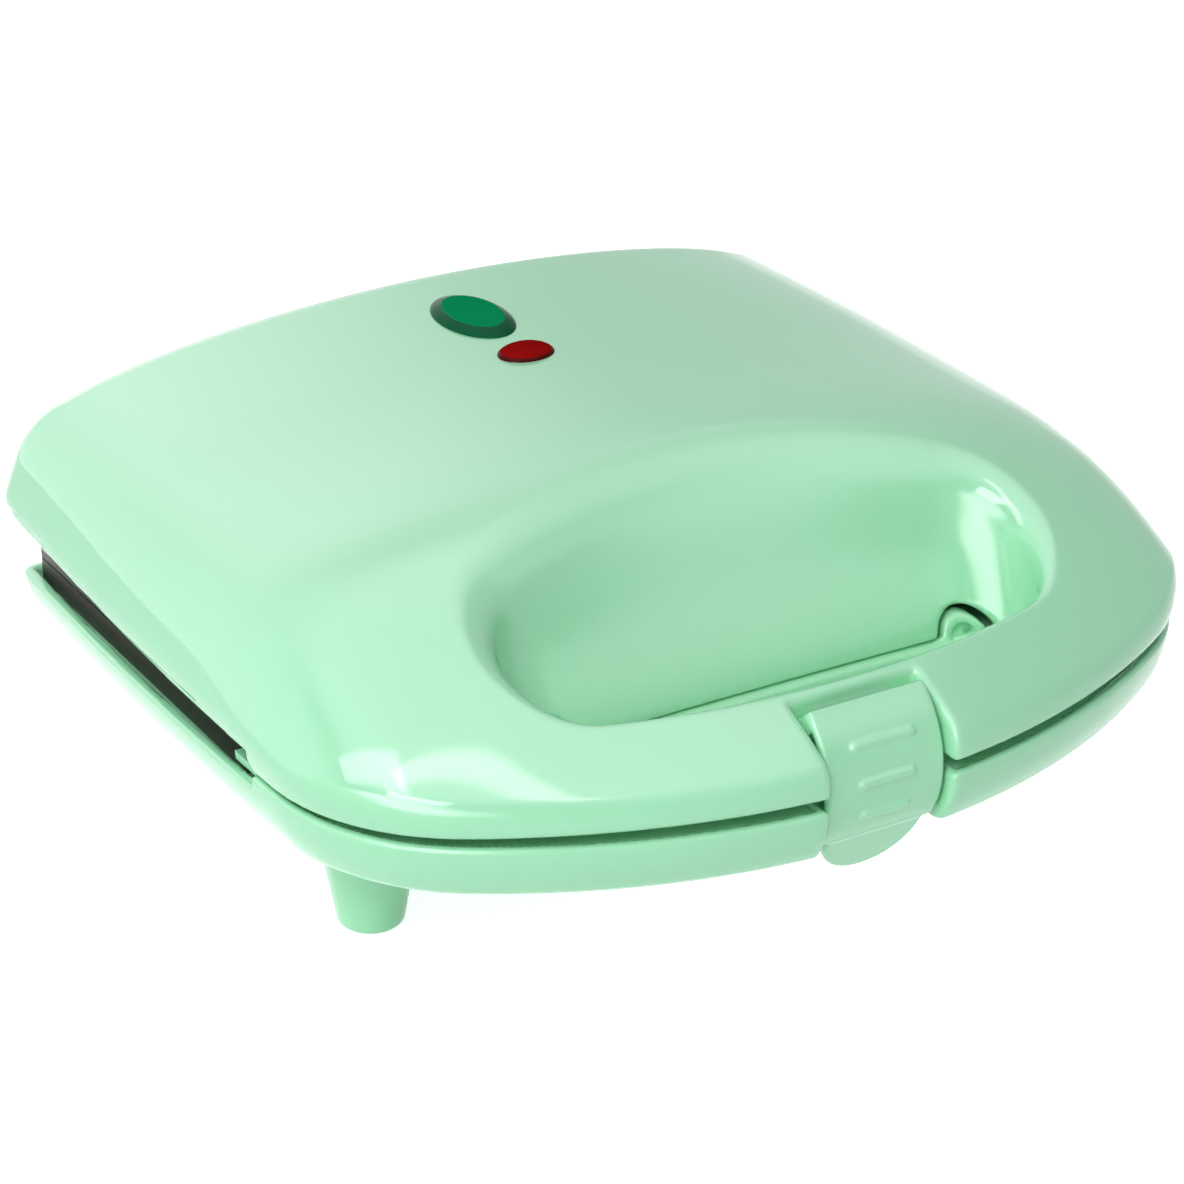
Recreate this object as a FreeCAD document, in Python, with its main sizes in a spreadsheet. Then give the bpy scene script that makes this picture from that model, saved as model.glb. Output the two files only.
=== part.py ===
import FreeCAD, Part
import math
import os
import re

from FreeCAD import Placement, Rotation, Vector

# Donut maker: two hinged mint housings with mould plates, closed by a snap latch on the handle.
# Frame: the table is z = 0, the handle points to -Y, the hinge is at +Y and X runs across. Sizes in mm.

doc = FreeCAD.newDocument("donut_maker")
sheet = doc.addObject("Spreadsheet::Sheet", "dims")

DIMENSIONS = [
    # plan outline of both housings: tangent arcs from the handle round to the back
    ("plan_front", -108.4), ("front_radius", 162.5), ("corner_radius", 49.7), ("side_radius", 1500.0),
    ("front_arc_deg", 32.6), ("side_start_deg", 88.2), ("wall", 2.5),
    ("lid_side_end_deg", 93.475), ("lid_rear_corner", 11.3), ("lid_rear_radius", 2100.0),
    ("base_side_end_deg", 93.3), ("base_rear_corner", 1.5), ("base_rear_radius", 5000.0),
    # lid walls, crown and lower edge
    ("lid_bulge", 1.4), ("bulge_height", 51.5), ("lid_tuck", 0.0194), ("lid_draft", 0.41),
    ("draft_blend", 2.0), ("crown_drop", 10.7), ("crown_edge_drop", 3.6), ("crown_roll", 1.55),
    ("crown_swell", 1.65), ("swell_y", 36.0), ("swell_reach", 64.0), ("front_fall", 7.0),
    ("front_fall_start", -60.0), ("shoulder_radius", 8.5), ("lid_rear_inside", 105.4),
    ("rim_height", 43.0), ("rim_pivot", -72.4), ("rim_slope_deg", 1.72), ("lid_side_edge", 44.9),
    ("side_slope_deg", 1.1), ("front_step", -33.0), ("rebate_depth", 1.3), ("rebate_height", 3.4),
    # base walls, floor and upper edge
    ("base_curve", 0.0048), ("base_power", 2.5), ("base_turn", 0.0036), ("corner_growth", 0.22),
    ("parting", 43.0), ("base_front_top", 41.0),
    ("base_side_top", 38.0), ("base_round", 3.0), ("base_rear_inside", 92.1), ("collar_top", 42.2),
    ("leg_front_x", 85.5), ("leg_front", -36.9), ("leg_rear_x", 78.0), ("leg_rear", 74.0),
    ("leg_top_radius", 11.6), ("leg_foot_radius", 7.2), ("leg_height", 26.0), ("leg_round", 1.5),
    ("leg_lift", 0.6),
    ("pad_radius", 4.6), ("pad_height", 3.0), ("seat_gap", 0.05),
    # mould plates
    ("plate_length", 208.6), ("plate_depth", 110.2), ("plate_centre", 36.7), ("plate_corner", 2.0),
    ("plate_slab", 4.0), ("skirt_wall", 3.0), ("lower_plate_top", 38.2), ("upper_plate_face", 38.6),
    ("lower_skirt", 5.9), ("upper_skirt", 8.9), ("mould_pitch_x", 66.0), ("mould_pitch_y", 50.0),
    ("mould_ring", 15.6), ("mould_round", 8.6), ("cup_wall", 2.2), ("cup_radius", 26.0),
    ("ledge", 2.0), ("ledge_lap", 3.6), ("screw_x", 98.0), ("screw_y", 49.5), ("screw_radius", 1.5),
    ("screw_head", 3.0), ("screw_head_height", 2.0), ("screw_length", 15.0), ("boss_radius", 4.2),
    # heaters and trays
    ("heater_radius", 3.2), ("heater_half_x", 70.0), ("heater_half_y", 30.0), ("heater_bend", 14.0),
    ("heater_end_x", 22.0), ("tray_half_x", 76.0), ("tray_half_y", 44.0), ("tray_sheet", 0.8),
    ("tray_rim", 1.5),
    # hinge
    ("hinge_y", 104.4), ("hinge_z", 41.0), ("hinge_x", 68.0), ("knuckle_radius", 4.6),
    ("hinge_pin_radius", 2.0), ("lug_width", 11.0), ("ear_width", 6.0), ("hinge_side_gap", 0.4),
    ("running_gap", 0.05), ("ear_root", 92.4), ("ear_depth", 9.0), ("ear_top", 35.2), ("lug_height", 20.0),
    # latch
    ("latch_half_width", 14.6), ("latch_arm", 5.0), ("slot_half_width", 15.3), ("slot_wall", 2.2),
    ("lid_slot_back", -91.2),
    ("base_slot_back", -95.5), ("latch_y", -84.0), ("latch_z", 41.7), ("latch_radius", 21.3),
    ("latch_wall", 2.6), ("latch_top_deg", 54.8), ("latch_low_deg", -35.5), ("tongue_lean_deg", 26.0),
    ("tongue_radius", 12.1), ("latch_pin_y", -94.2), ("latch_pin_z", 53.5), ("latch_pin_radius", 1.5),
    ("latch_eye", 2.7), ("latch_web", 4.0), ("latch_pin_reach", 19.0), ("lip_front", -99.0),
    ("lip_low", 36.2), ("lip_high", 38.8), ("tooth_half_width", 10.0), ("tooth_tip", -97.0),
    ("tooth_low", 33.0),
    ("tooth_high", 35.4), ("rib_radius", 1.0), ("rib_sink", 0.3), ("latch_edge", 0.8),
    # handle covers
    ("cover_sheet", 2.0), ("cover_gap", 0.3), ("cover_rear", -20.4),
    ("upper_cover_low", 45.2), ("lower_cover_low", 38.4), ("cover_screw_x", 80.0), ("cover_screw_y", -48.0),
    ("cover_screw_length", 9.0), ("notch_x", 53.0), ("notch_z", 42.0), ("notch_radius", 6.6),
    ("post_radius", 4.8), ("post_bore", 2.7), ("post_recess", 4.0), ("post_rear", -52.0),
    # lamps
    ("green_y", 70.4), ("green_half_x", 8.0), ("green_half_y", 13.6), ("red_y", 45.2),
    ("red_half_x", 6.9), ("red_half_y", 5.5), ("lens_flange", 1.4), ("lens_flange_height", 1.2),
    ("lens_gap", 0.1), ("green_proud", 1.0), ("red_proud", 2.4), ("green_crown", 83.87),
    ("red_crown", 84.08),
    ("lens_drop", 0.3), ("neon_radius", 2.5), ("neon_length", 13.0), ("neon_z", 74.0),
    ("holder_half_x", 9.4), ("holder_wall", 1.4), ("holder_low", 69.5),
    # electrical parts in the base
    ("thermostat_x", 33.0), ("thermostat_radius", 8.0), ("thermostat_height", 4.0), ("stem_radius", 5.0),
    ("stem_height", 3.5), ("fuse_x", -39.0), ("fuse_radius", 2.2), ("fuse_length", 12.0),
    ("block_x", 62.0), ("block_y", 81.8), ("block_z", 15.5), ("block_length", 20.0), ("block_width", 8.0),
    ("block_height", 10.0), ("well_radius", 2.0), ("well_depth", 4.0), ("wire_radius", 1.3),
    ("wire_bend", 4.0),
    ("inlet_x", 40.0), ("inlet_z", 26.0), ("inlet_radius", 6.0), ("inlet_bore", 3.5), ("inlet_start", 88.0),
    ("inlet_length", 9.0), ("collar_radius", 7.5), ("collar_start", 95.6), ("collar_length", 3.0),
]
for row, (alias, number) in enumerate(DIMENSIONS, start=1):
    sheet.set("A%d" % row, alias)
    sheet.set("B%d" % row, str(number))
    sheet.setAlias("B%d" % row, alias)
doc.recompute()

FAR = 150.0
# Side view of the lid's crown: heights along the centre line at even steps from front to back.
CROWN_START, CROWN_STEP = -126, 12
CROWN_HEIGHTS = [40, 48, 54.8, 60, 65.6, 71.8, 77.6, 82, 84.6, 85.5, 85.4, 85,
                 84.6, 84.3, 84.1, 84, 83.9, 83.8, 83.7, 83.6, 83.5, 83.4]
CROWN_STATIONS = range(-120, 121, 6)
# Side view of the base's floor under the handle, as (y, z); behind it the floor is flat.
FLOOR_PROFILE = [(-125, 27.1), (-90, 26.9), (-64, 26.9), (-48, 25.2), (-34, 19), (-20, 14.2), (0, 13)]
# Finger opening: rounded outlines as (z, rear y, front y, half width, y of the end centres, end radius).
OPENING_LEVELS = [(95, -12, -89.5, 74, -50.75, 25), (78, -30.6, -88.7, 68, -59.65, 20),
                  (61, -43.5, -88, 64.5, -63, 17), (44, -56.5, -87, 61, -70.2, 13),
                  (27, -60, -86.3, 59.5, -72, 11.5), (10, -62.5, -85.6, 58.5, -72.9, 10)]
LATCH_RIBS = [(28.0, 7.0), (5.9, 6.0), (-14.7, 5.0)]
# Evenly spaced heights of the outlines that each housing wall is drawn through.
LID_LEVELS = range(36, 93, 8)
BASE_LEVELS = range(7, 44, 4)


def dim(alias):
    return float(sheet.get(alias))


def feature(label, shape):
    item = doc.addObject("Part::Feature", label)
    item.Shape = shape.Solids[0] if len(shape.Solids) == 1 else shape
    item.Placement = Placement()
    return item


def box(low, high):
    low = Vector(*low)
    span = Vector(*high) - low
    return Part.makeBox(span.x, span.y, span.z, low)


def rod(start, along, radius, length):
    return Part.makeCylinder(radius, length, Vector(*start), Vector(*along))


def fuse(shapes):
    return shapes[0].multiFuse(shapes[1:]).removeSplitter()


# Housing outlines

def outward(angle):
    return Vector(math.sin(angle), -math.cos(angle), 0)


def outline(housing, height, inset):
    """Closed plan outline of a housing, drawn in by inset: eight tangent arcs."""
    depth = dim("parting") - height if housing == "base" else 0
    turn = dim("base_turn") * depth ** 2
    front, start = math.radians(dim("front_arc_deg")), math.radians(dim("side_start_deg") - turn)
    end = math.radians(dim(housing + "_side_end_deg") - turn)
    corner = dim(housing + "_rear_corner") + dim("corner_growth") * depth
    rear = dim(housing + "_rear_radius")

    def half_width(drawn_in):
        r_front, r_corner = dim("front_radius") - drawn_in, dim("corner_radius") - drawn_in
        r_side = dim("side_radius") - drawn_in
        return (r_front * math.sin(front) + r_corner * (math.sin(start) - math.sin(front))
                + r_side * (math.sin(end) - math.sin(start)))

    rear_sine = (half_width(0) - corner * math.sin(end)) / (rear - corner)
    rear_angle = math.pi - math.asin(rear_sine)
    corner = max(corner - 0.35 * inset, 0.5 * corner)
    rear = (half_width(inset) - corner * (math.sin(end) - rear_sine)) / rear_sine
    radii = [dim(name) - inset for name in ("front_radius", "corner_radius", "side_radius")]
    radii += [corner, rear]
    angles = [front, start, end, rear_angle]
    centres = [Vector(0, dim("plan_front") + inset + radii[0], height)]
    for angle, this, following in zip(angles, radii, radii[1:]):
        centres.append(centres[-1] + outward(angle) * (this - following))

    def arc(index, begin, finish, side):
        points = [centres[index] + outward(a) * radii[index] for a in (begin, (begin + finish) / 2, finish)]
        return Part.Arc(*[Vector(side * p.x, p.y, p.z) for p in points]).toShape()

    right = [arc(i, angles[i - 1], angles[i], 1) for i in (1, 2, 3)]
    left = [arc(i, angles[i], angles[i - 1], -1) for i in (3, 2, 1)]
    return Part.Wire([arc(0, -front, front, 1)] + right
                     + [arc(4, rear_angle, 2 * math.pi - rear_angle, 1)] + left)


def lid_inset(height):
    rise = height - dim("bulge_height")
    if rise < 0:
        return dim("lid_tuck") * rise ** 2 - dim("lid_bulge")
    blend = dim("draft_blend")
    return dim("lid_draft") * (math.hypot(rise, blend) - blend) - dim("lid_bulge")


def base_inset(height):
    return dim("base_curve") * (dim("parting") - height) ** dim("base_power")


def barrel(housing, inset):
    levels, rule = {"lid": (LID_LEVELS, lid_inset), "base": (BASE_LEVELS, base_inset)}[housing]
    return Part.makeLoft([outline(housing, z, rule(z) + inset) for z in levels], True, False)


def crown_fall(across, along):
    """How far the crown drops sideways: a shallow arch that rolls off at the shoulders."""
    share, ahead = abs(across) / 100.0, max(0.0, dim("front_fall_start") - along) / 30.0
    arch = (dim("crown_drop") + dim("front_fall") * ahead ** 2) * share ** 2
    swell = dim("crown_swell") * max(0.0, 1 - ((along - dim("swell_y")) / dim("swell_reach")) ** 2)
    return arch + (dim("crown_edge_drop") - swell) * share ** 6 + dim("crown_roll") * share ** 18


def crown_skin(inset):
    profile = [(CROWN_START + CROWN_STEP * k, z) for k, z in enumerate(CROWN_HEIGHTS)]
    grid = [[Vector(x, y, z - inset - crown_fall(x, y)) for y, z in profile] for x in CROWN_STATIONS]
    surface = Part.BSplineSurface()
    surface.interpolate(grid)
    return surface.toShape()


def under_crown(inset):
    return crown_skin(inset).extrude(Vector(0, 0, -90))


def over_floor(inset):
    points = [Vector(-FAR, y, z + inset) for y, z in FLOOR_PROFILE]
    curve = Part.BSplineCurve()
    curve.interpolate(Points=points, InitialTangent=Vector(0, 1, 0), FinalTangent=Vector(0, 1, 0))
    beyond = [(FAR, points[-1].z), (FAR, FAR), (points[0].y, FAR)]
    corners = points[-1:] + [Vector(-FAR, y, z) for y, z in beyond] + points[:1]
    border = Part.Wire([curve.toShape()] + Part.makePolygon(corners).Edges)
    return Part.Face(border).extrude(Vector(2 * FAR, 0, 0))


def faces_up(face):
    u0, u1, v0, v1 = face.ParameterRange
    return face.normalAt((u0 + u1) / 2, (v0 + v1) / 2).z


def round_off(solid, face, radius):
    return solid.makeFillet(radius, face.Edges)


def domed_lid(inset, shoulder):
    solid = barrel("lid", inset).common(under_crown(inset)).Solids[0]
    top = max(solid.Faces, key=lambda f: f.Area if faces_up(f) > 0.5 else 0)
    return round_off(solid, top, shoulder)


def opening_outline(z, rear, front, half, end_y, end_r):
    """Four tangent arcs: rear, right end, front and left end."""
    reach = half - end_r

    def long_radius(depth):
        return (reach ** 2 + depth ** 2 - end_r ** 2) / (2 * (depth - end_r))

    rear_r, front_r = long_radius(rear - end_y), long_radius(end_y - front)
    end = Vector(reach, end_y, z)
    rear_centre, front_centre = Vector(0, rear - rear_r, z), Vector(0, front + front_r, z)
    rear_joint = end + (end - rear_centre).normalize() * end_r
    front_joint = end + (end - front_centre).normalize() * end_r

    def mirrored(point):
        return Vector(-point.x, point.y, point.z)

    arcs = [Part.Arc(mirrored(rear_joint), Vector(0, rear, z), rear_joint),
            Part.Arc(rear_joint, end + Vector(end_r, 0, 0), front_joint),
            Part.Arc(front_joint, Vector(0, front, z), mirrored(front_joint)),
            Part.Arc(mirrored(front_joint), mirrored(end + Vector(end_r, 0, 0)), mirrored(rear_joint))]
    return Part.Wire([arc.toShape() for arc in arcs])


def opening(grow):
    wires = [opening_outline(z, rear + grow, front - grow, half + grow, end_y, end_r + grow)
             for z, rear, front, half, end_y, end_r in OPENING_LEVELS]
    return Part.makeLoft(wires, True, False)


def latch_slot(rear, grow):
    half = dim("slot_half_width") + grow
    return box((-half, -140, -20), (half, rear + grow, 120))


def screw_places():
    centre, reach = dim("plate_centre"), dim("screw_y")
    return [(side * dim("screw_x"), centre + row * reach) for side in (-1, 1) for row in (-1, 1)]


def cover_screw_places():
    return [(side * dim("cover_screw_x"), dim("cover_screw_y")) for side in (-1, 1)]


def behind_step(low, high, pivot, slope_deg):
    """Block behind the front step whose low and high faces lean about a line across the step."""
    step = dim("front_step")
    block_shape = box((-FAR, -FAR, low), (FAR, 2 * FAR, high))
    block_shape.rotate(Vector(0, step, pivot), Vector(1, 0, 0), slope_deg)
    return block_shape.common(box((-FAR, step, -FAR), (FAR, 2 * FAR, 2 * FAR)))


def under_lid_side(rise):
    edge = dim("lid_side_edge") + rise
    return behind_step(-FAR, edge, edge, dim("side_slope_deg"))


def lid_parting():
    """What lies below the lid's lower edge: a tilted front and raised, sloping sides."""
    front = box((-FAR, -FAR, -FAR), (FAR, FAR, 0))
    front.rotate(Vector(0, 0, 0), Vector(1, 0, 0), -dim("rim_slope_deg"))
    front.translate(Vector(0, dim("rim_pivot"), dim("rim_height")))
    return fuse([front, under_lid_side(0)])


def within(rear):
    return box((-FAR, -FAR, -FAR), (FAR, rear, FAR))


def lid_shell():
    wall, shoulder = dim("wall"), dim("shoulder_radius")
    outer = domed_lid(0, shoulder)
    hollow = domed_lid(wall, shoulder - wall).common(within(dim("lid_rear_inside")))
    hollow = hollow.cut(opening(wall)).cut(latch_slot(dim("lid_slot_back"), dim("slot_wall")))
    boss, shank = dim("boss_radius"), dim("screw_radius") + dim("seat_gap")
    ledge_low = dim("upper_plate_face") + dim("upper_skirt")
    cover_top = dim("upper_cover_low") + dim("cover_sheet")
    bosses = [rod((x, y, ledge_low), (0, 0, 1), boss, 40) for x, y in screw_places()]
    bosses += [rod((x, y, cover_top), (0, 0, 1), boss, 40) for x, y in cover_screw_places()]
    ledge = box((-FAR, dim("cover_rear") - 4, ledge_low), (FAR, FAR, ledge_low + dim("ledge")))
    lap = dim("ledge_lap")
    ledge = ledge.cut(plate_blank(dim("plate_length") - 2 * lap, dim("plate_depth") - 2 * lap, ledge_low - 1,
                                  dim("ledge") + 2))
    keep = outer.common(fuse(bosses)).fuse(outer.common(ledge))
    shell = outer.cut(hollow).fuse(keep).cut(opening(0)).cut(latch_slot(dim("lid_slot_back"), 0))
    rebate = under_lid_side(dim("rebate_height")).cut(barrel("lid", dim("rebate_depth")))
    shell = shell.cut(lid_parting()).cut(rebate)
    holes = [rod((x, y, ledge_low - 1), (0, 0, 1), shank, dim("screw_length")) for x, y in screw_places()]
    holes += [rod((x, y, dim("upper_cover_low")), (0, 0, 1), shank, 12) for x, y in cover_screw_places()]
    holes += [lens_hole("green"), lens_hole("red")] + notch_rods(dim("notch_radius"), -66, -44)
    for hole in holes:
        shell = shell.cut(hole)
    shell = fuse([shell] + [hinge_lug(side) for side in (-1, 1)])
    return shell.cut(hinge_bore(dim("running_gap"))).cut(latch_pin_rod(dim("seat_gap")))



def plate_blank(length, depth, low, height):
    half_x, half_y = length / 2, depth / 2
    centre = dim("plate_centre")
    slab = box((-half_x, centre - half_y, low), (half_x, centre + half_y, low + height))
    return slab.makeFillet(dim("plate_corner"), [e for e in slab.Edges if e.BoundBox.ZLength > 0.5 * height])


def lens_hole(name):
    half_x, half_y = dim(name + "_half_x") + dim("lens_gap"), dim(name + "_half_y") + dim("lens_gap")
    centre = Vector(0, dim(name + "_y"), dim(name + "_crown") - 15)
    if half_x < half_y:
        ellipse = Part.Ellipse(centre + Vector(0, half_y, 0), centre + Vector(half_x, 0, 0), centre)
    else:
        ellipse = Part.Ellipse(centre, half_x, half_y)
    return Part.Face(Part.Wire([ellipse.toShape()])).extrude(Vector(0, 0, 30))


def notch_rods(radius, front, rear):
    x, z = dim("notch_x"), dim("notch_z")
    return [rod((side * x, front, z), (0, 1, 0), radius, rear - front) for side in (-1, 1)]


def hinge_bore(gap):
    return rod((-FAR, dim("hinge_y"), dim("hinge_z")), (1, 0, 0), dim("hinge_pin_radius") + gap, 2 * FAR)


def hinge_lug(side):
    half = dim("lug_width") / 2
    y, z = dim("hinge_y"), dim("hinge_z")
    web = box((side * dim("hinge_x") - half, y - dim("knuckle_radius"), z),
              (side * dim("hinge_x") + half, y + 1.2, z + dim("lug_height")))
    eye = rod((side * dim("hinge_x") - half, y, z), (1, 0, 0), dim("knuckle_radius"), dim("lug_width"))
    return web.fuse(eye)


def latch_pin_rod(gap):
    reach, radius = dim("latch_pin_reach") + gap, dim("latch_pin_radius") + gap
    return rod((-reach, dim("latch_pin_y"), dim("latch_pin_z")), (1, 0, 0), radius, 2 * reach)


def base_shell():
    solid = barrel("base", 0).common(over_floor(0)).Solids[0]
    floor = max(solid.Faces, key=lambda f: f.Area if faces_up(f) < -0.5 else 0)
    outer = round_off(solid, floor, dim("base_round"))
    wall = dim("wall")
    hollow = barrel("base", wall).common(over_floor(wall)).common(within(dim("base_rear_inside"))).Solids[0]
    hollow = hollow.cut(opening(wall)).cut(latch_slot(dim("base_slot_back"), dim("slot_wall")))
    boss, shank = dim("boss_radius"), dim("screw_radius") + dim("seat_gap")
    legs = [leg(x, y) for x, y in leg_places()]
    ledge_top = dim("lower_plate_top") - dim("lower_skirt")
    lap = dim("ledge_lap")
    ledge = box((-FAR, dim("cover_rear") - 4, ledge_top - dim("ledge")), (FAR, FAR, ledge_top))
    ledge = ledge.cut(plate_blank(dim("plate_length") - 2 * lap, dim("plate_depth") - 2 * lap,
                                  ledge_top - dim("ledge") - 1, dim("ledge") + 2))
    bosses = [rod((x, y, 0), (0, 0, 1), boss, ledge_top) for x, y in screw_places()]
    cover_low = dim("lower_cover_low")
    bosses += [rod((x, y, 0), (0, 0, 1), boss, cover_low) for x, y in cover_screw_places()]
    keep = outer.common(fuse(bosses)).fuse(outer.common(ledge))
    shell = fuse([outer] + legs).cut(hollow).fuse(keep)
    collar = opening(wall).common(box((-FAR, -FAR, 0), (FAR, FAR, dim("collar_top"))))
    side_top = dim("base_side_top")
    above = box((-FAR, -FAR, dim("base_front_top")), (FAR, FAR, FAR)).cut(collar)
    shell = shell.cut(above).cut(behind_step(side_top, FAR, side_top, -dim("side_slope_deg")))
    shell = shell.cut(opening(0)).cut(latch_slot(dim("base_slot_back"), 0))
    lip = box((-dim("slot_half_width") - 1, dim("lip_front"), dim("lip_low")),
              (dim("slot_half_width") + 1, dim("base_slot_back") + 1, dim("lip_high")))
    ears = [hinge_ear(side, out) for side in (-1, 1) for out in (-1, 1)]
    posts = [post.cut(opening(0.6)) for post in notch_rods(dim("post_radius"), -60, dim("post_rear"))]
    shell = fuse([shell, lip] + ears + posts)
    pad, bush = dim("pad_radius") + dim("seat_gap"), dim("inlet_radius") + dim("seat_gap")
    depth = dim("screw_length") - 4
    holes = [rod((x, y, ledge_top + 1), (0, 0, -1), shank, depth) for x, y in screw_places()]
    holes += [rod((x, y, cover_low + 1), (0, 0, -1), shank, 10) for x, y in cover_screw_places()]
    holes += [rod((x, y, -1), (0, 0, 1), pad, 1 + dim("pad_height")) for x, y in leg_places()]
    holes += [hinge_bore(dim("seat_gap")), rod((dim("inlet_x"), 84, dim("inlet_z")), (0, 1, 0), bush, 40)]
    holes += notch_rods(dim("post_bore"), -66, dim("post_rear") - dim("post_recess"))
    for hole in holes:
        shell = shell.cut(hole)
    return shell


def leg_places():
    return [(side * dim(row + "_x"), dim(row)) for side in (-1, 1) for row in ("leg_front", "leg_rear")]


def leg(x, y):
    cone = Part.makeCone(dim("leg_foot_radius"), dim("leg_top_radius"), dim("leg_height") - dim("leg_lift"),
                         Vector(x, y, dim("leg_lift")))
    foot = min(cone.Edges, key=lambda e: e.BoundBox.ZMax)
    return cone.makeFillet(dim("leg_round"), [foot])


def hinge_ear(side, out):
    inner = dim("lug_width") / 2 + dim("hinge_side_gap")
    low = side * dim("hinge_x") + out * inner - (dim("ear_width") if out < 0 else 0)
    y, z, radius, root = dim("hinge_y"), dim("hinge_z"), dim("knuckle_radius"), dim("ear_root")
    eye = rod((low, y, z), (1, 0, 0), radius, dim("ear_width"))
    profile = [(root, z - radius - dim("ear_depth")), (root, dim("ear_top")), (y, z + radius),
               (y + radius * 0.7, z - radius * 0.7)]
    corners = [Vector(low, py, pz) for py, pz in profile]
    web = Part.Face(Part.makePolygon(corners + corners[:1])).extrude(Vector(dim("ear_width"), 0, 0))
    return eye.fuse(web)


# Parts made of primitives: sizes and places are formulas over the sheet

ALIASES = {alias for alias, _ in DIMENSIONS}
UPWARD, DOWNWARD = Rotation(), Rotation(Vector(1, 0, 0), 180)
ALONG_X, ALONG_Y = Rotation(Vector(0, 1, 0), 90), Rotation(Vector(1, 0, 0), -90)


def formula(text):
    def named(word):
        return ("dims." if word.group() in ALIASES else "") + word.group()

    return re.sub("[a-z_]+", named, str(text))


def primitive(kind, name, sizes, at, turn):
    item = doc.addObject("Part::" + kind, name)
    for size, text in sizes.items():
        item.setExpression(size, formula(text))
    item.Placement = Placement(Vector(), turn)
    for axis, text in zip("xyz", at):
        item.setExpression("Placement.Base." + axis, formula(text))
    return item


def cylinder(name, radius, length, at, turn=UPWARD, sweep=360):
    return primitive("Cylinder", name, {"Radius": radius, "Height": length, "Angle": sweep}, at, turn)


def block(name, size, at, turn=UPWARD):
    return primitive("Box", name, dict(zip(("Length", "Width", "Height"), size)), at, turn)


def joined(name, items):
    item = doc.addObject("Part::MultiFuse", name)
    item.Shapes = items
    item.Refine = True
    return item


def cut_away(name, body, tools):
    item = doc.addObject("Part::Cut", name)
    item.Base = body
    item.Tool = tools[0] if len(tools) == 1 else joined(name + "_holes", tools)
    return item


def grouped(name, items):
    item = doc.addObject("Part::Compound", name)
    item.Links = items
    return item


def rounded(name, body, radius, chosen):
    doc.recompute()
    item = doc.addObject("Part::Fillet", name)
    item.Base = body
    item.Edges = [(n, radius, radius) for n, edge in enumerate(body.Shape.Edges, start=1) if chosen(edge)]
    return item


def upright(edge):
    return edge.BoundBox.ZLength > 1 and edge.BoundBox.XLength + edge.BoundBox.YLength < 0.01


MOULDS = [("%d * mould_pitch_x" % i, "plate_centre + %d * mould_pitch_y / 2" % j)
          for i in (-1, 0, 1) for j in (-1, 1)]
SCREWS = [("%d * screw_x" % i, "plate_centre + %d * screw_y" % j) for i in (-1, 1) for j in (-1, 1)]
COVER_SCREWS = [("%d * cover_screw_x" % i, "cover_screw_y") for i in (-1, 1)]


def mould_plate(label, face, back, skirt):
    """Cast plate with six ring moulds; back is +1 where its cups stand up and -1 where they hang down."""
    turn = UPWARD if back > 0 else DOWNWARD
    edge_y = "plate_centre - %d * plate_depth / 2" % back
    rim = block(label + "_blank", ("plate_length", "plate_depth", skirt), ("-plate_length / 2", edge_y, face),
                turn)
    rim = rounded(label + "_rim", rim, dim("plate_corner"), upright)
    inner_y = "plate_centre - %d * (plate_depth / 2 - skirt_wall)" % back
    hollow = block(label + "_hollow",
                   ("plate_length - 2 * skirt_wall", "plate_depth - 2 * skirt_wall", skirt),
                   ("skirt_wall - plate_length / 2", inner_y, "%s + %d * plate_slab" % (face, back)), turn)
    cups, holes = [], []
    for x, y in MOULDS:
        cups.append(cylinder(label + "_cup", "cup_radius", "mould_round + cup_wall - 0.5",
                             (x, y, "%s + %d * 0.5" % (face, back)), turn))
        holes.append(primitive("Torus", label + "_ring", {"Radius1": "mould_ring", "Radius2": "mould_round"},
                               (x, y, face), UPWARD))
    for x, y in SCREWS:
        start = "%s - %d" % (face, back)
        holes.append(cylinder(label + "_hole", "screw_radius + 0.3", 30, (x, y, start), turn))
        holes.append(cylinder(label + "_sink", "screw_head + 0.2", "screw_head_height + 1.2", (x, y, start),
                              turn))
    frame = cut_away(label + "_frame", rim, [hollow])
    return cut_away(label, joined(label + "_casting", [frame] + cups), holes)


def screw_set(label, places, start, back, head_height, length):
    turn = UPWARD if back > 0 else DOWNWARD
    screws = []
    for x, y in places:
        head = cylinder(label + "_head", "screw_head", head_height, (x, y, start), turn)
        shank = cylinder(label + "_shank", "screw_radius", length, (x, y, start), turn)
        screws.append(joined(label + "_one", [head, shank]))
    return grouped(label, screws)


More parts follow.
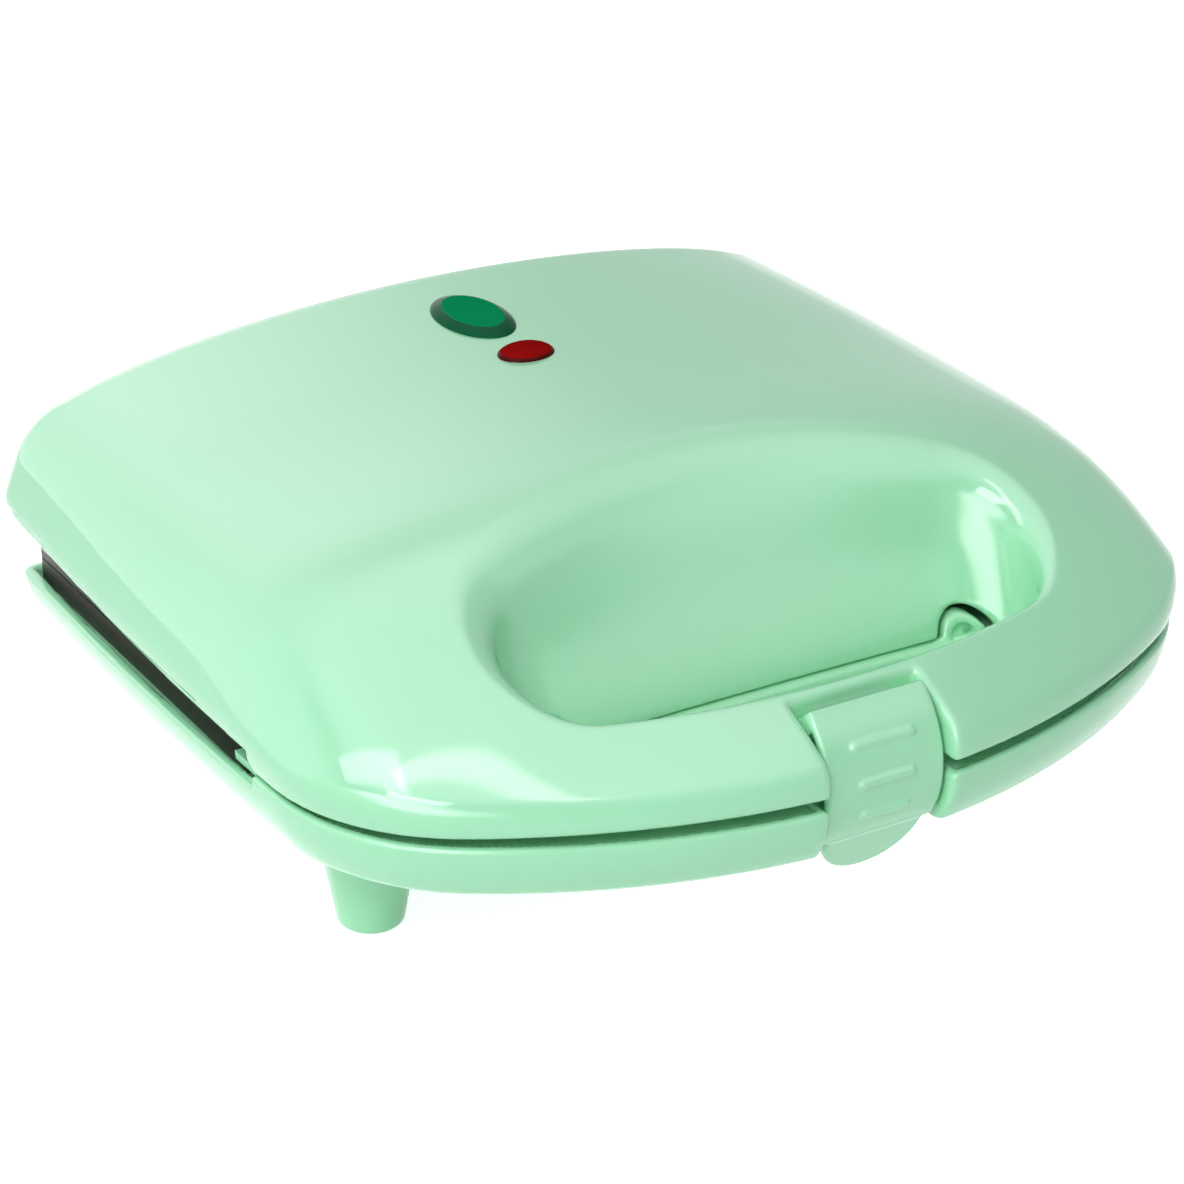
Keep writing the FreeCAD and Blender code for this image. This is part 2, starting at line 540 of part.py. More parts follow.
def heater(label, face, back):
    """Tubular element under the cups: straight legs and quarter bends, open between its two ends."""
    z = "%s + %d * (mould_round + cup_wall + heater_radius)" % (face, back)
    front, rear = "plate_centre - heater_half_y", "plate_centre + heater_half_y"
    long_leg, side_leg = "2 * (heater_half_x - heater_bend)", "2 * (heater_half_y - heater_bend)"
    short_leg = "heater_half_x - heater_bend - heater_end_x"
    legs = [cylinder(label + "_leg", "heater_radius", long_leg, ("heater_bend - heater_half_x", front, z),
                     ALONG_X)]
    for side in (-1, 1):
        legs.append(cylinder(label + "_side", "heater_radius", side_leg,
                             ("%d * heater_half_x" % side, front + " + heater_bend", z), ALONG_Y))
    for start in ("heater_bend - heater_half_x", "heater_end_x"):
        legs.append(cylinder(label + "_end", "heater_radius", short_leg, (start, rear, z), ALONG_X))
    corners = [(1, 1), (-1, 1), (-1, -1), (1, -1)]
    for turned, (side, row) in enumerate(corners):
        at = ("%d * (heater_half_x - heater_bend)" % side,
              "plate_centre + %d * (heater_half_y - heater_bend)" % row, z)
        sizes = {"Radius1": "heater_bend", "Radius2": "heater_radius", "Angle3": 90}
        legs.append(primitive("Torus", label + "_bend", sizes, at, Rotation(Vector(0, 0, 1), 90 * turned)))
    return joined(label, legs)


def tray(label, face, back):
    """Bright sheet tray that backs the heater."""
    turn = UPWARD if back > 0 else DOWNWARD
    near = "%s + %d * (mould_round + cup_wall + 2 * heater_radius)" % (face, back)
    y = "plate_centre - %d * tray_half_y" % back
    inner_y = "plate_centre - %d * (tray_half_y - tray_sheet)" % back
    pan = block(label + "_pan", ("2 * tray_half_x", "2 * tray_half_y", "tray_rim + tray_sheet"),
                ("-tray_half_x", y, "%s - %d * tray_rim" % (near, back)), turn)
    inner_size = ("2 * (tray_half_x - tray_sheet)", "2 * (tray_half_y - tray_sheet)", "tray_rim")
    inside = block(label + "_inside", inner_size,
                   ("tray_sheet - tray_half_x", inner_y, "%s - %d * tray_rim" % (near, back)), turn)
    return cut_away(label, pan, [inside])


def handle_cover(housing, low):
    gap = dim("wall") + dim("cover_gap")
    sheet_low = dim(low)
    slab = box((-FAR, -FAR, sheet_low), (FAR, dim("cover_rear"), sheet_low + dim("cover_sheet")))
    slot = latch_slot(dim(housing + "_slot_back"), dim("slot_wall") + dim("cover_gap"))
    inside = domed_lid(gap, dim("shoulder_radius") - gap) if housing == "lid" else barrel(housing, gap)
    cover = slab.common(inside).cut(opening(gap)).cut(slot)
    for hole in notch_rods(dim("notch_radius") + dim("cover_gap"), -66, -40):
        cover = cover.cut(hole)
    for x, y in cover_screw_places():
        cover = cover.cut(rod((x, y, sheet_low - 1), (0, 0, 1), dim("screw_radius") + 0.2, 10))
    return cover


# Latch: a curved shield that turns on a pin under the lid and hooks under the base's lip

def latch_point(angle_deg, radius):
    angle = math.radians(angle_deg)
    return Vector(0, dim("latch_y") - radius * math.cos(angle), dim("latch_z") + radius * math.sin(angle))


def sector_turn(angle_deg):
    """Turn that lays a cylinder along X and starts its sweep at an angle measured up from -Y."""
    start = Vector(0, -math.cos(math.radians(angle_deg)), math.sin(math.radians(angle_deg)))
    along = Vector(1, 0, 0)
    return Rotation(start, along.cross(start), along, "ZXY")


def latch(label):
    across, left = "2 * latch_half_width", "-latch_half_width"
    centre = (left, "latch_y", "latch_z")
    outer = cylinder("shield_outer", "latch_radius", across, centre, sector_turn(dim("latch_top_deg")),
                     "latch_top_deg - latch_low_deg")
    inner = cylinder("shield_inner", "latch_radius - latch_wall", across, centre, ALONG_X)
    shield = rounded("shield", cut_away("shield_plain", outer, [inner]), dim("latch_edge"),
                     lambda e: hasattr(e.Curve, "Radius")
                     and abs(e.Curve.Radius - dim("latch_radius")) < 0.01)
    spoke = Vector(0, dim("latch_pin_y") - dim("latch_y"), dim("latch_pin_z") - dim("latch_z"))
    lean = Rotation(Vector(0, 0, 1), spoke)
    corner = lean.multVec(Vector(0, -dim("latch_web") / 2, 0))
    reach = dim("latch_radius") - 1.2 - spoke.Length
    arms = []
    for start in (left, "latch_half_width - latch_arm"):
        arms.append(cylinder("latch_eye_ring", "latch_eye", "latch_arm",
                             (start, "latch_pin_y", "latch_pin_z"),
                             ALONG_X))
        arms.append(block("latch_arm_web", ("latch_arm", "latch_web", reach),
                          (start, "latch_pin_y + %.3f" % corner.y, "latch_pin_z + %.3f" % corner.z), lean))
    drop = dim("latch_z") - dim("tooth_low")
    root = dim("latch_y") - math.sqrt((dim("latch_radius") - 1.2) ** 2 - drop ** 2)
    tooth_size = ("2 * tooth_half_width", "tooth_tip + %.2f" % -root, "tooth_high - tooth_low")
    tooth = block("latch_tooth", tooth_size, ("-tooth_half_width", "%.2f" % root, "tooth_low"))
    crease = latch_point(dim("latch_low_deg"), dim("latch_radius"))
    tilt = Rotation(Vector(1, 0, 0), dim("tongue_lean_deg"))
    tab = cylinder("latch_tab", "tongue_radius", "latch_wall", (0, crease.y, crease.z), tilt * ALONG_Y, 180)
    neck = block("latch_neck", ("2 * tongue_radius", "latch_wall", 1), ("-tongue_radius", crease.y, crease.z),
                 tilt)
    pieces = [shield, tooth, tab, neck] + arms
    for angle, half in LATCH_RIBS:
        at = latch_point(angle, dim("latch_radius") - dim("rib_sink"))
        pieces.append(cylinder("latch_grip", "rib_radius", 2 * half, (-half, at.y, at.z), ALONG_X))
        for side in (-1, 1):
            pieces.append(primitive("Sphere", "latch_grip_end", {"Radius": "rib_radius"},
                                    (side * half, at.y, at.z), UPWARD))
    bore = cylinder("latch_bore", "latch_pin_radius + running_gap", "4 * latch_half_width",
                    ("-2 * latch_half_width", "latch_pin_y", "latch_pin_z"), ALONG_X)
    return cut_away(label, joined("latch_body", pieces), [bore])


# Indicator lamps

def oval_prism(name, lamp, grow, length):
    """Upright oval solid on the flange plane of a lamp."""
    ellipse = doc.addObject("Part::Ellipse", name + "_oval")
    lengthwise = dim(lamp + "_half_y") > dim(lamp + "_half_x")
    longer, shorter = ("_half_y", "_half_x") if lengthwise else ("_half_x", "_half_y")
    ellipse.setExpression("MajorRadius", formula("%s + %s" % (lamp + longer, grow)))
    ellipse.setExpression("MinorRadius", formula("%s + %s" % (lamp + shorter, grow)))
    ellipse.Placement = Placement(Vector(), Rotation(Vector(0, 0, 1), 90 if lengthwise else 0))
    ellipse.setExpression("Placement.Base.y", formula(lamp + "_y"))
    ellipse.setExpression("Placement.Base.z",
                          formula("%s_crown - wall - lens_drop - lens_flange_height" % lamp))
    prism = doc.addObject("Part::Extrusion", name)
    prism.Base = ellipse
    prism.DirMode = "Custom"
    prism.Dir = Vector(0, 0, 1)
    prism.Solid = True
    prism.setExpression("LengthFwd", formula(length))
    return prism


def lens(label, lamp):
    plug = oval_prism(label + "_plug", lamp, 0, "wall + lens_drop + lens_flange_height + %s_proud" % lamp)
    flange = oval_prism(label + "_flange", lamp, "lens_flange", "lens_flange_height")
    doc.recompute()
    top = plug.Shape.BoundBox.ZMax
    dome = rounded(label + "_dome", plug, 0.8 * dim(lamp + "_proud"), lambda e: e.BoundBox.ZMin > top - 0.01)
    return joined(label, [dome, flange])


def lamp_holder(label):
    half, wall_t = "holder_half_x", "holder_wall"
    length, start = "green_y - red_y + 12", "red_y - 6"
    bed = block("holder_bed", ("2 * holder_half_x", length, "neon_z - holder_low"),
                ("-" + half, start, "holder_low"))
    top = "green_crown - wall - lens_drop - lens_flange_height"
    walls = [block("holder_side", (wall_t, length, top + " - holder_low"), (x, start, "holder_low"))
             for x in ("-" + half, half + " - " + wall_t)]
    troughs = [cylinder("holder_trough", "neon_radius", "neon_length",
                        ("-neon_length / 2", lamp + "_y", "neon_z"), ALONG_X) for lamp in ("green", "red")]
    return cut_away(label, joined("holder_body", [bed] + walls), troughs)


# Wires inside the base

def wire_run(points):
    """Round wire along straight runs with rounded corners."""
    points = [Vector(*p) for p in points]
    bend = dim("wire_bend")
    edges, start = [], points[0]
    for before, corner, after in zip(points, points[1:], points[2:]):
        arrive, leave = (corner - before).normalize(), (after - corner).normalize()
        half_turn = arrive.getAngle(leave) / 2
        setback = bend * math.tan(half_turn)
        entry, finish = corner - arrive * setback, corner + leave * setback
        middle = corner + (leave - arrive).normalize() * (bend / math.cos(half_turn) - bend)
        edges += [Part.LineSegment(start, entry).toShape(), Part.Arc(entry, middle, finish).toShape()]
        start = finish
    edges.append(Part.LineSegment(start, points[-1]).toShape())
    section = Part.Wire([Part.Circle(points[0], points[1] - points[0], dim("wire_radius")).toShape()])
    return Part.Wire(edges).makePipeShell([section], True, False).Solids[0]


def base_wires():
    low = dim("lower_plate_top") - dim("mould_round") - dim("cup_wall") - dim("heater_radius")
    high = dim("lower_plate_top") - dim("plate_slab") - dim("fuse_radius")
    end, centre = dim("heater_end_x"), dim("plate_centre")
    rear = centre + dim("heater_half_y")
    fuse_end = dim("fuse_x") + dim("fuse_length")
    to_fuse = [(-end, rear, low), (-end + 8, rear, low), (-end + 8, centre, low), (-end + 8, centre, high),
               (fuse_end, centre, high)]
    entry = dim("block_y") + dim("block_width") / 2
    to_block = [(end, rear, low), (end - 10, rear, low), (end - 10, entry, low), (dim("block_x"), entry, low)]
    return Part.makeCompound([wire_run(to_fuse), wire_run(to_block)])


# The pieces

feature("lid_shell", lid_shell())
feature("base_shell", base_shell())
feature("lower_handle_cover", handle_cover("base", "lower_cover_low"))
feature("upper_handle_cover", handle_cover("lid", "upper_cover_low"))
feature("base_wiring", base_wires())
mould_plate("lower_plate", "lower_plate_top", -1, "lower_skirt")
mould_plate("upper_plate", "upper_plate_face", 1, "upper_skirt")
screw_set("lower_plate_screws", SCREWS, "lower_plate_top - 0.2", -1, "screw_head_height", "screw_length")
screw_set("upper_plate_screws", SCREWS, "upper_plate_face + 0.2", 1, "screw_head_height", "screw_length")
screw_set("lower_cover_screws", COVER_SCREWS, "lower_cover_low + cover_sheet + 1.5", -1, 1.5,
          "cover_screw_length")
screw_set("upper_cover_screws", COVER_SCREWS, "upper_cover_low - 1.5", 1, 1.5, "cover_screw_length")
for side, face, back in (("lower", "lower_plate_top", -1), ("upper", "upper_plate_face", 1)):
    heater(side + "_heater", face, back)
    tray(side + "_reflector", face, back)
latch("latch")
cylinder("latch_pin", "latch_pin_radius", "2 * latch_pin_reach",
         ("-latch_pin_reach", "latch_pin_y", "latch_pin_z"), ALONG_X)
pin_half = "lug_width / 2 + hinge_side_gap + ear_width"
grouped("hinge_pins", [cylinder("hinge_pin", "hinge_pin_radius", "2 * (%s)" % pin_half,
                                ("%d * hinge_x - (%s)" % (side, pin_half), "hinge_y", "hinge_z"), ALONG_X)
                       for side in (-1, 1)])
grouped("foot_pads", [cylinder("foot_pad", "pad_radius", "pad_height", ("%d * %s_x" % (side, row), row, 0))
                      for side in (-1, 1) for row in ("leg_front", "leg_rear")])
lens("ready_lamp_lens", "green")
lens("power_lamp_lens", "red")
lamp_holder("lamp_holder")
grouped("neon_lamps", [cylinder("neon", "neon_radius", "neon_length",
                                ("-neon_length / 2", lamp + "_y", "neon_z"), ALONG_X)
                       for lamp in ("green", "red")])
slab_low = "lower_plate_top - plate_slab"
joined("thermostat", [cylinder("thermostat_disc", "thermostat_radius", "thermostat_height",
                               ("thermostat_x", "plate_centre", slab_low), DOWNWARD),
                      cylinder("thermostat_stem", "stem_radius", "thermostat_height + stem_height",
                               ("thermostat_x", "plate_centre", slab_low), DOWNWARD)])
cylinder("thermal_fuse", "fuse_radius", "fuse_length",
         ("fuse_x", "plate_centre", slab_low + " - fuse_radius"), ALONG_X)
wells = [cylinder("terminal_well", "well_radius", "well_depth",
                  ("block_x + block_length * %d / 4" % n, "block_y + block_width / 2",
                    "block_z + block_height"),
                  DOWNWARD) for n in (1, 3)]
cut_away("terminal_block", block("terminal_body", ("block_length", "block_width", "block_height"),
                                 ("block_x", "block_y", "block_z")), wells)
bush = [cylinder("inlet_bush", "inlet_radius", "inlet_length",
                 ("inlet_x", "inlet_start", "inlet_z"), ALONG_Y),
        cylinder("inlet_collar", "collar_radius", "collar_length",
                 ("inlet_x", "collar_start", "inlet_z"), ALONG_Y)]
cut_away("cord_inlet", joined("inlet_body", bush),
         [cylinder("inlet_hole", "inlet_bore", 40, ("inlet_x", "inlet_start - 10", "inlet_z"), ALONG_Y)])

NODES = ["lid_shell", "base_shell", "lower_handle_cover", "upper_handle_cover", "base_wiring",
         "lower_plate", "upper_plate", "lower_plate_screws", "upper_plate_screws", "lower_cover_screws",
         "upper_cover_screws", "lower_heater", "upper_heater", "lower_reflector", "upper_reflector",
         "latch", "latch_pin", "hinge_pins", "foot_pads", "ready_lamp_lens", "power_lamp_lens",
         "lamp_holder", "neon_lamps", "thermostat", "thermal_fuse", "terminal_block", "cord_inlet"]
doc.recompute()
os.makedirs("parts", exist_ok=True)
for item in doc.Objects:
    if "Invalid" in item.State or "Error" in item.State:
        raise ValueError("not computed: " + item.Name)
for node in NODES:
    item = doc.getObject(node)
    item.Label = node
    if item.Shape.isNull() or not item.Shape.isValid() or not item.Shape.Solids:
        raise ValueError("bad shape: " + node)
    item.Shape.exportStep("parts/%s.step" % node)
    print("%-20s %2d solids %4d faces %9.1f mm3" % (node, len(item.Shape.Solids), len(item.Shape.Faces),
                                                   item.Shape.Volume))
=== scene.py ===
import math

import bpy
import numpy as np
from mathutils import Matrix, Vector


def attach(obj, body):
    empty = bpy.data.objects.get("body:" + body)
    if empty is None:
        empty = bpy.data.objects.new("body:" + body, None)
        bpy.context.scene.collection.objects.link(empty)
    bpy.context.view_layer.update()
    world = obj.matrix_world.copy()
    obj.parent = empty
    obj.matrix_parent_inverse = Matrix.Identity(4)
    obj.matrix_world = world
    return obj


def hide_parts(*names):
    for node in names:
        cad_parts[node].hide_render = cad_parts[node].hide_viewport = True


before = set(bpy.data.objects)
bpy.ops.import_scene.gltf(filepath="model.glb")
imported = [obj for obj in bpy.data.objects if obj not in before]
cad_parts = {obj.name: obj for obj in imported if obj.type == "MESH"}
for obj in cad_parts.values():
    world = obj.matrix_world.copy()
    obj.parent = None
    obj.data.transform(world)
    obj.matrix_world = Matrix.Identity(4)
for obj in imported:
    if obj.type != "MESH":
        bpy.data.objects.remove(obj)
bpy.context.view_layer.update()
MM = 0.001

# All sizes are in millimetres. Both housings: tangent arcs from the handle round to the back.
PLAN_FRONT, FRONT_RADIUS, CORNER_RADIUS, SIDE_RADIUS = -108.4, 162.5, 49.7, 1500.0
FRONT_ARC, SIDE_START = math.radians(32.6), math.radians(88.2)
LID_SIDE_END, LID_REAR_CORNER, LID_REAR_RADIUS = math.radians(93.475), 11.3, 2100.0
BASE_SIDE_END, BASE_REAR_CORNER, BASE_REAR_RADIUS = math.radians(93.3), 1.5, 5000.0
CORNER_SHRINK, CORNER_LEAST = 0.35, 0.5
WALL, INNER_ROUND = 2.5, 1.0
FRONT_STEP, SIDE_SLOPE = -33.0, math.tan(math.radians(1.1))
SLOT_HALF_WIDTH, SLOT_WALL, SLOT_CORNER, SLOT_ROUND = 15.3, 2.2, 0.6, 1.6
LID_SLOT_BACK, BASE_SLOT_BACK = -91.2, -95.5
PLATE_CENTRE, PLATE_CORNER = 36.7, 2.0
LEDGE_HALF, LEDGE_SEAT, LEDGE_FRONT = 1.0, 1.0, -24.4
LEDGE_HOLE_X, LEDGE_HOLE_Y = 100.7, 51.5
UPPER_LEDGE, LOWER_LEDGE = 48.5, 31.3

# Finger opening: outlines at even heights, each of two long arcs and two round ends
OPENING_LOW, OPENING_STEP = 10.0, 17.0
OPENING = dict(rear=[-62.5, -60, -56.5, -43.5, -30.6, -12],
               front=[-85.6, -86.3, -87, -88, -88.7, -89.5],
               half=[58.5, 59.5, 61, 64.5, 68, 74],
               end_y=[-72.9, -72, -70.2, -63, -59.65, -50.75],
               end_r=[10, 11.5, 13, 17, 20, 25])

# Lid: walls, crown along the centre line, rims and edges
BULGE_HEIGHT, LID_BULGE, LID_TUCK, LID_DRAFT, DRAFT_BLEND = 51.5, 1.4, 0.0194, 0.41, 2.0
SHOULDER_RADIUS, LID_REAR_INSIDE = 8.5, 105.4
LEAST_COSINE, MOST_COSINE = -0.5, 0.97
FRONT_SET, SET_START, SET_REACH = 0.36, -70, 30
CROWN_START, CROWN_STEP = -126.0, 12.0
CROWN_HEIGHTS = [40, 48, 54.8, 60, 65.6, 71.8, 77.6, 82, 84.6, 85.5, 85.4, 85,
                 84.6, 84.3, 84.1, 84, 83.9, 83.8, 83.7, 83.6, 83.5, 83.4]
CROWN_HALF, CROWN_DROP, CROWN_EDGE_DROP, CROWN_ROLL = 100, 10.7, 3.6, 1.55
EDGE_POWER, ROLL_POWER = 6, 18
CROWN_SWELL, SWELL_Y, SWELL_REACH = 1.65, 36, 64
FRONT_FALL, FRONT_FALL_START, FRONT_FALL_REACH = 7, -60, 30
OPENING_ROUND, ROUND_GAIN, ROUND_START, ROUND_REACH = 3.0, 3.5, -84, 24
RIM_HEIGHT, RIM_PIVOT, RIM_SLOPE = 43.0, -72.4, 0.03
LID_SIDE_EDGE, STEP_ROUND, LID_EDGE_ROUND = 44.9, 2.5, 1.0
REBATE_DEPTH, REBATE_HEIGHT = 1.3, 3.4
NOTCH_X, NOTCH_Z, NOTCH_RADIUS, NOTCH_ROUND = 53.0, 42.0, 6.6, 0.8
NOTCH_FRONT, NOTCH_REAR = -66, -44

# Base: walls, floor under the handle, legs, edges, latch lip and ring posts
CORNER_GROWTH, BASE_TURN = 0.22, math.radians(0.0036)
BASE_CURVE, BASE_POWER, PARTING = 0.0048, 2.5, 43.0
FLOOR_Y = [-125.0, -90, -64, -48, -34, -20, 0]
FLOOR_Z = [27.1, 26.9, 26.9, 25.2, 19, 14.2, 13]
BASE_ROUND, BASE_REAR_INSIDE = 3.0, 92.1
LEGS = [(85.5, -36.9), (78.0, 74.0)]
LEG_TOP_RADIUS, LEG_FOOT_RADIUS, LEG_LIFT, LEG_HEIGHT = 11.6, 7.2, 0.6, 26.0
LEG_ROUND, LEG_FILLET = 1.5, 2.0
BASE_FRONT_TOP, BASE_SIDE_TOP, COLLAR_TOP = 41.0, 38.0, 42.2
BASE_EDGE_ROUND, BASE_OPENING_ROUND = 0.8, 2.0
LIP_HALF_WIDTH, LIP_FRONT, LIP_REAR, LIP_LOW, LIP_HIGH, LIP_ROUND = 16.0, -99.0, -94.5, 36.2, 38.8, 0.4
POST_RADIUS, POST_FRONT, POST_REAR, POST_CLEAR, POST_ROUND = 4.8, -60, -52, 0.6, 0.8
POST_BORE, BORE_FLOOR, BORE_ROUND = 2.7, -56, 0.4

# Hinge: a lug on the lid between two ears on the base, at each side
HINGE_X, HINGE_Y, HINGE_Z, KNUCKLE_RADIUS, HINGE_ROUND = 68, 104.4, 41, 4.6, 0.5
LUG_HALF_WIDTH, LUG_FRONT, LUG_REAR, LUG_TOP = 5.5, 99.8, 105.6, 61
EAR_MIDDLES, EAR_HALF_WIDTH, EAR_ROOT, EAR_REACH = (59.1, 76.9), 3.0, 92.4, 12
EAR_LOW, EAR_LOW_RISE, EAR_TOP, EAR_TOP_RISE = 27.4, 0.682, 35.2, 0.867

# Latch: a curved shield with finger ribs, a tongue, two arms on the pin and a tooth
LATCH_Y, LATCH_Z, LATCH_RADIUS, LATCH_WALL = -84.0, 41.7, 21.3, 2.6
LATCH_TOP, LATCH_LOW = math.radians(54.8), math.radians(-35.5)
LATCH_HALF_WIDTH, LATCH_EDGE, LATCH_SIDE_ROUND = 14.6, 0.8, 1.2
LATCH_RIBS = ((28.0, 7.0), (5.9, 6.0), (-14.7, 5.0))
RIB_RADIUS, RIB_SINK, RIB_FILLET = 1.1, 0.2, 0.5
TONGUE_LEAN, TONGUE_RADIUS, TONGUE_ROUND = math.radians(26.0), 12.1, 0.9
TONGUE_LAP, TONGUE_FILLET = 1.0, 0.6
LATCH_PIN_Y, LATCH_PIN_Z, LATCH_EYE = -94.2, 53.5, 2.7
SPOKE_Y, SPOKE_Z, WEB_REACH, WEB_HALF = -10.2, 11.8, 4.4, 2.0
ARM_INSIDE, ARM_ROUND = 9.6, 0.4
TOOTH_HALF_WIDTH, TOOTH_ROOT, TOOTH_TIP = 10.0, -102.0, -97.0
TOOTH_LOW, TOOTH_HIGH, TOOTH_ROUND = 33.0, 35.4, 0.3

# Half of the span over which a slope is measured
PROBE = 0.5
# Low side of a block that crosses X = 0, where X is taken without its sign
ACROSS = -1


# Forms: each gives the distance outside a solid, negative inside it

def cubic(knots, values, level_ends=False):
    """Smooth curve through points: a cubic spline, with straight or level ends."""
    knots, values = np.array(knots, float), np.array(values, float)
    gap, n = np.diff(knots), len(knots)
    slope = np.diff(values) / gap
    left, right = np.zeros((n, n)), np.zeros(n)
    for i in range(1, n - 1):
        left[i, i - 1:i + 2] = gap[i - 1], 2 * (gap[i - 1] + gap[i]), gap[i]
        right[i] = 6 * (slope[i] - slope[i - 1])
    left[0, 0] = left[-1, -1] = 1
    if level_ends:
        left[0, :2], right[0] = (2 * gap[0], gap[0]), 6 * slope[0]
        left[-1, -2:], right[-1] = (gap[-1], 2 * gap[-1]), -6 * slope[-1]
    bend = np.linalg.solve(left, right)

    def at(where):
        where = np.clip(where, knots[0], knots[-1])
        i = np.clip(np.searchsorted(knots, where) - 1, 0, n - 2)
        a, b = (knots[i + 1] - where) / gap[i], (where - knots[i]) / gap[i]
        return (a * values[i] + b * values[i + 1]
                + ((a ** 3 - a) * bend[i] + (b ** 3 - b) * bend[i + 1]) * gap[i] ** 2 / 6)

    return at


crown_line = cubic(CROWN_START + CROWN_STEP * np.arange(len(CROWN_HEIGHTS)), CROWN_HEIGHTS)
floor_line = cubic(FLOOR_Y, FLOOR_Z, level_ends=True)
opening_heights = OPENING_LOW + OPENING_STEP * np.arange(len(OPENING["rear"]))
opening_lines = {name: cubic(opening_heights, values) for name, values in OPENING.items()}


def both(a, b, r):
    """Where two forms meet, with the edge rounded."""
    return np.minimum(np.maximum(a, b), -r) + np.hypot(np.maximum(a + r, 0), np.maximum(b + r, 0))


def either(a, b, r):
    """Two forms joined, with the corner between them filled."""
    return -both(-a, -b, r)


def between(value, low, high):
    return np.maximum(low - value, value - high)


def brick(x, y, z, low, high, r):
    """Block between two corners, with rounded edges."""
    flat = both(between(x, low[0], high[0]), between(y, low[1], high[1]), r)
    return both(flat, between(z, low[2], high[2]), r)


def outward(angle):
    return np.array([math.sin(angle), -math.cos(angle)])


FRONT_CENTRE = np.array([0, PLAN_FRONT + FRONT_RADIUS])
CORNER_CENTRE = FRONT_CENTRE + outward(FRONT_ARC) * (FRONT_RADIUS - CORNER_RADIUS)


def housing_wall(x, y, drawn, turn, end, corner, rear):
    """Distances outside a housing's wall, drawn in, and its back, and the radius between them."""
    ax = np.abs(x)
    start, end = SIDE_START - turn, end - turn
    side_x = CORNER_CENTRE[0] - (SIDE_RADIUS - CORNER_RADIUS) * np.sin(start)
    side_y = CORNER_CENTRE[1] + (SIDE_RADIUS - CORNER_RADIUS) * np.cos(start)
    front = np.hypot(ax, y - FRONT_CENTRE[1]) - FRONT_RADIUS
    side = np.hypot(ax - side_x, y - side_y) - SIDE_RADIUS
    bend = np.hypot(ax - CORNER_CENTRE[0], y - CORNER_CENTRE[1]) - CORNER_RADIUS
    angle = np.arctan2(ax - CORNER_CENTRE[0], CORNER_CENTRE[1] - y)
    around = np.where((angle > FRONT_ARC) & (angle < start), bend, np.maximum(front, side))
    half = side_x + SIDE_RADIUS * np.sin(end)
    sine = (half - corner * np.sin(end)) / (rear - corner)
    corner = np.maximum(corner - CORNER_SHRINK * drawn, CORNER_LEAST * corner)
    rear = (half - drawn * np.sin(end) - corner * (np.sin(end) - sine)) / sine
    corner_y = side_y - np.cos(end) * (SIDE_RADIUS - drawn - corner)
    rear_y = corner_y + np.sqrt(1 - sine ** 2) * (corner - rear)
    return around + drawn, np.hypot(x, y - rear_y) - rear, corner


def lid_wall(x, y, z):
    rise = z - BULGE_HEIGHT
    slant = np.hypot(rise, DRAFT_BLEND)
    drawn = np.where(rise < 0, LID_TUCK * rise ** 2, LID_DRAFT * (slant - DRAFT_BLEND)) - LID_BULGE
    lean = np.where(rise < 0, 2 * LID_TUCK * rise, LID_DRAFT * rise / slant)
    around, back, corner = housing_wall(x, y, drawn, 0.0, LID_SIDE_END, LID_REAR_CORNER,
                                        LID_REAR_RADIUS)
    return both(around / np.sqrt(1 + lean ** 2), back, corner)


def base_wall(x, y, z):
    depth = np.maximum(PARTING - z, 0)
    drawn = BASE_CURVE * depth ** BASE_POWER
    lean = BASE_POWER * BASE_CURVE * depth ** (BASE_POWER - 1)
    around, back, corner = housing_wall(x, y, drawn, BASE_TURN * depth ** 2, BASE_SIDE_END,
                                        BASE_REAR_CORNER + CORNER_GROWTH * depth, BASE_REAR_RADIUS)
    return both(around / np.sqrt(1 + lean ** 2), back, corner)


def crown(x, y):
    share = np.abs(x) / CROWN_HALF
    ahead = np.maximum(FRONT_FALL_START - y, 0) / FRONT_FALL_REACH
    swell = CROWN_SWELL * np.maximum(1 - ((y - SWELL_Y) / SWELL_REACH) ** 2, 0)
    arch = (CROWN_DROP + FRONT_FALL * ahead ** 2) * share ** 2
    edge = (CROWN_EDGE_DROP - swell) * share ** EDGE_POWER
    return crown_line(y) - arch - edge - CROWN_ROLL * share ** ROLL_POWER


def over_crown(x, y, z):
    """Distance above the crown, and the crown's normal there."""
    lean_x = crown(x + PROBE, y) - crown(x - PROBE, y)
    lean_y = crown(x, y + PROBE) - crown(x, y - PROBE)
    steep = np.sqrt(1 + lean_x ** 2 + lean_y ** 2)
    return (z - crown(x, y)) / steep, (-lean_x / steep, -lean_y / steep, 1 / steep)


def shoulder(x, y, z):
    """The wall, and wall and crown with a round edge that is true for their angle."""
    wall, (top, normal) = lid_wall(x, y, z), over_crown(x, y, z)
    lean = [(lid_wall(x + PROBE, y, z) - wall) / PROBE, (lid_wall(x, y + PROBE, z) - wall) / PROBE,
            (lid_wall(x, y, z + PROBE) - wall) / PROBE]
    length = np.sqrt(sum(part ** 2 for part in lean))
    cosine = sum(a * b for a, b in zip(lean, normal)) / length
    cosine = np.clip(cosine, LEAST_COSINE, MOST_COSINE)
    a, b = wall + SHOULDER_RADIUS, top + SHOULDER_RADIUS
    in_round = (a > cosine * b) & (b > cosine * a)
    rounded = np.sqrt(np.maximum(a ** 2 + b ** 2 - 2 * cosine * a * b, 0) / (1 - cosine ** 2))
    return wall, np.where(in_round, rounded, np.maximum(a, b)) - SHOULDER_RADIUS


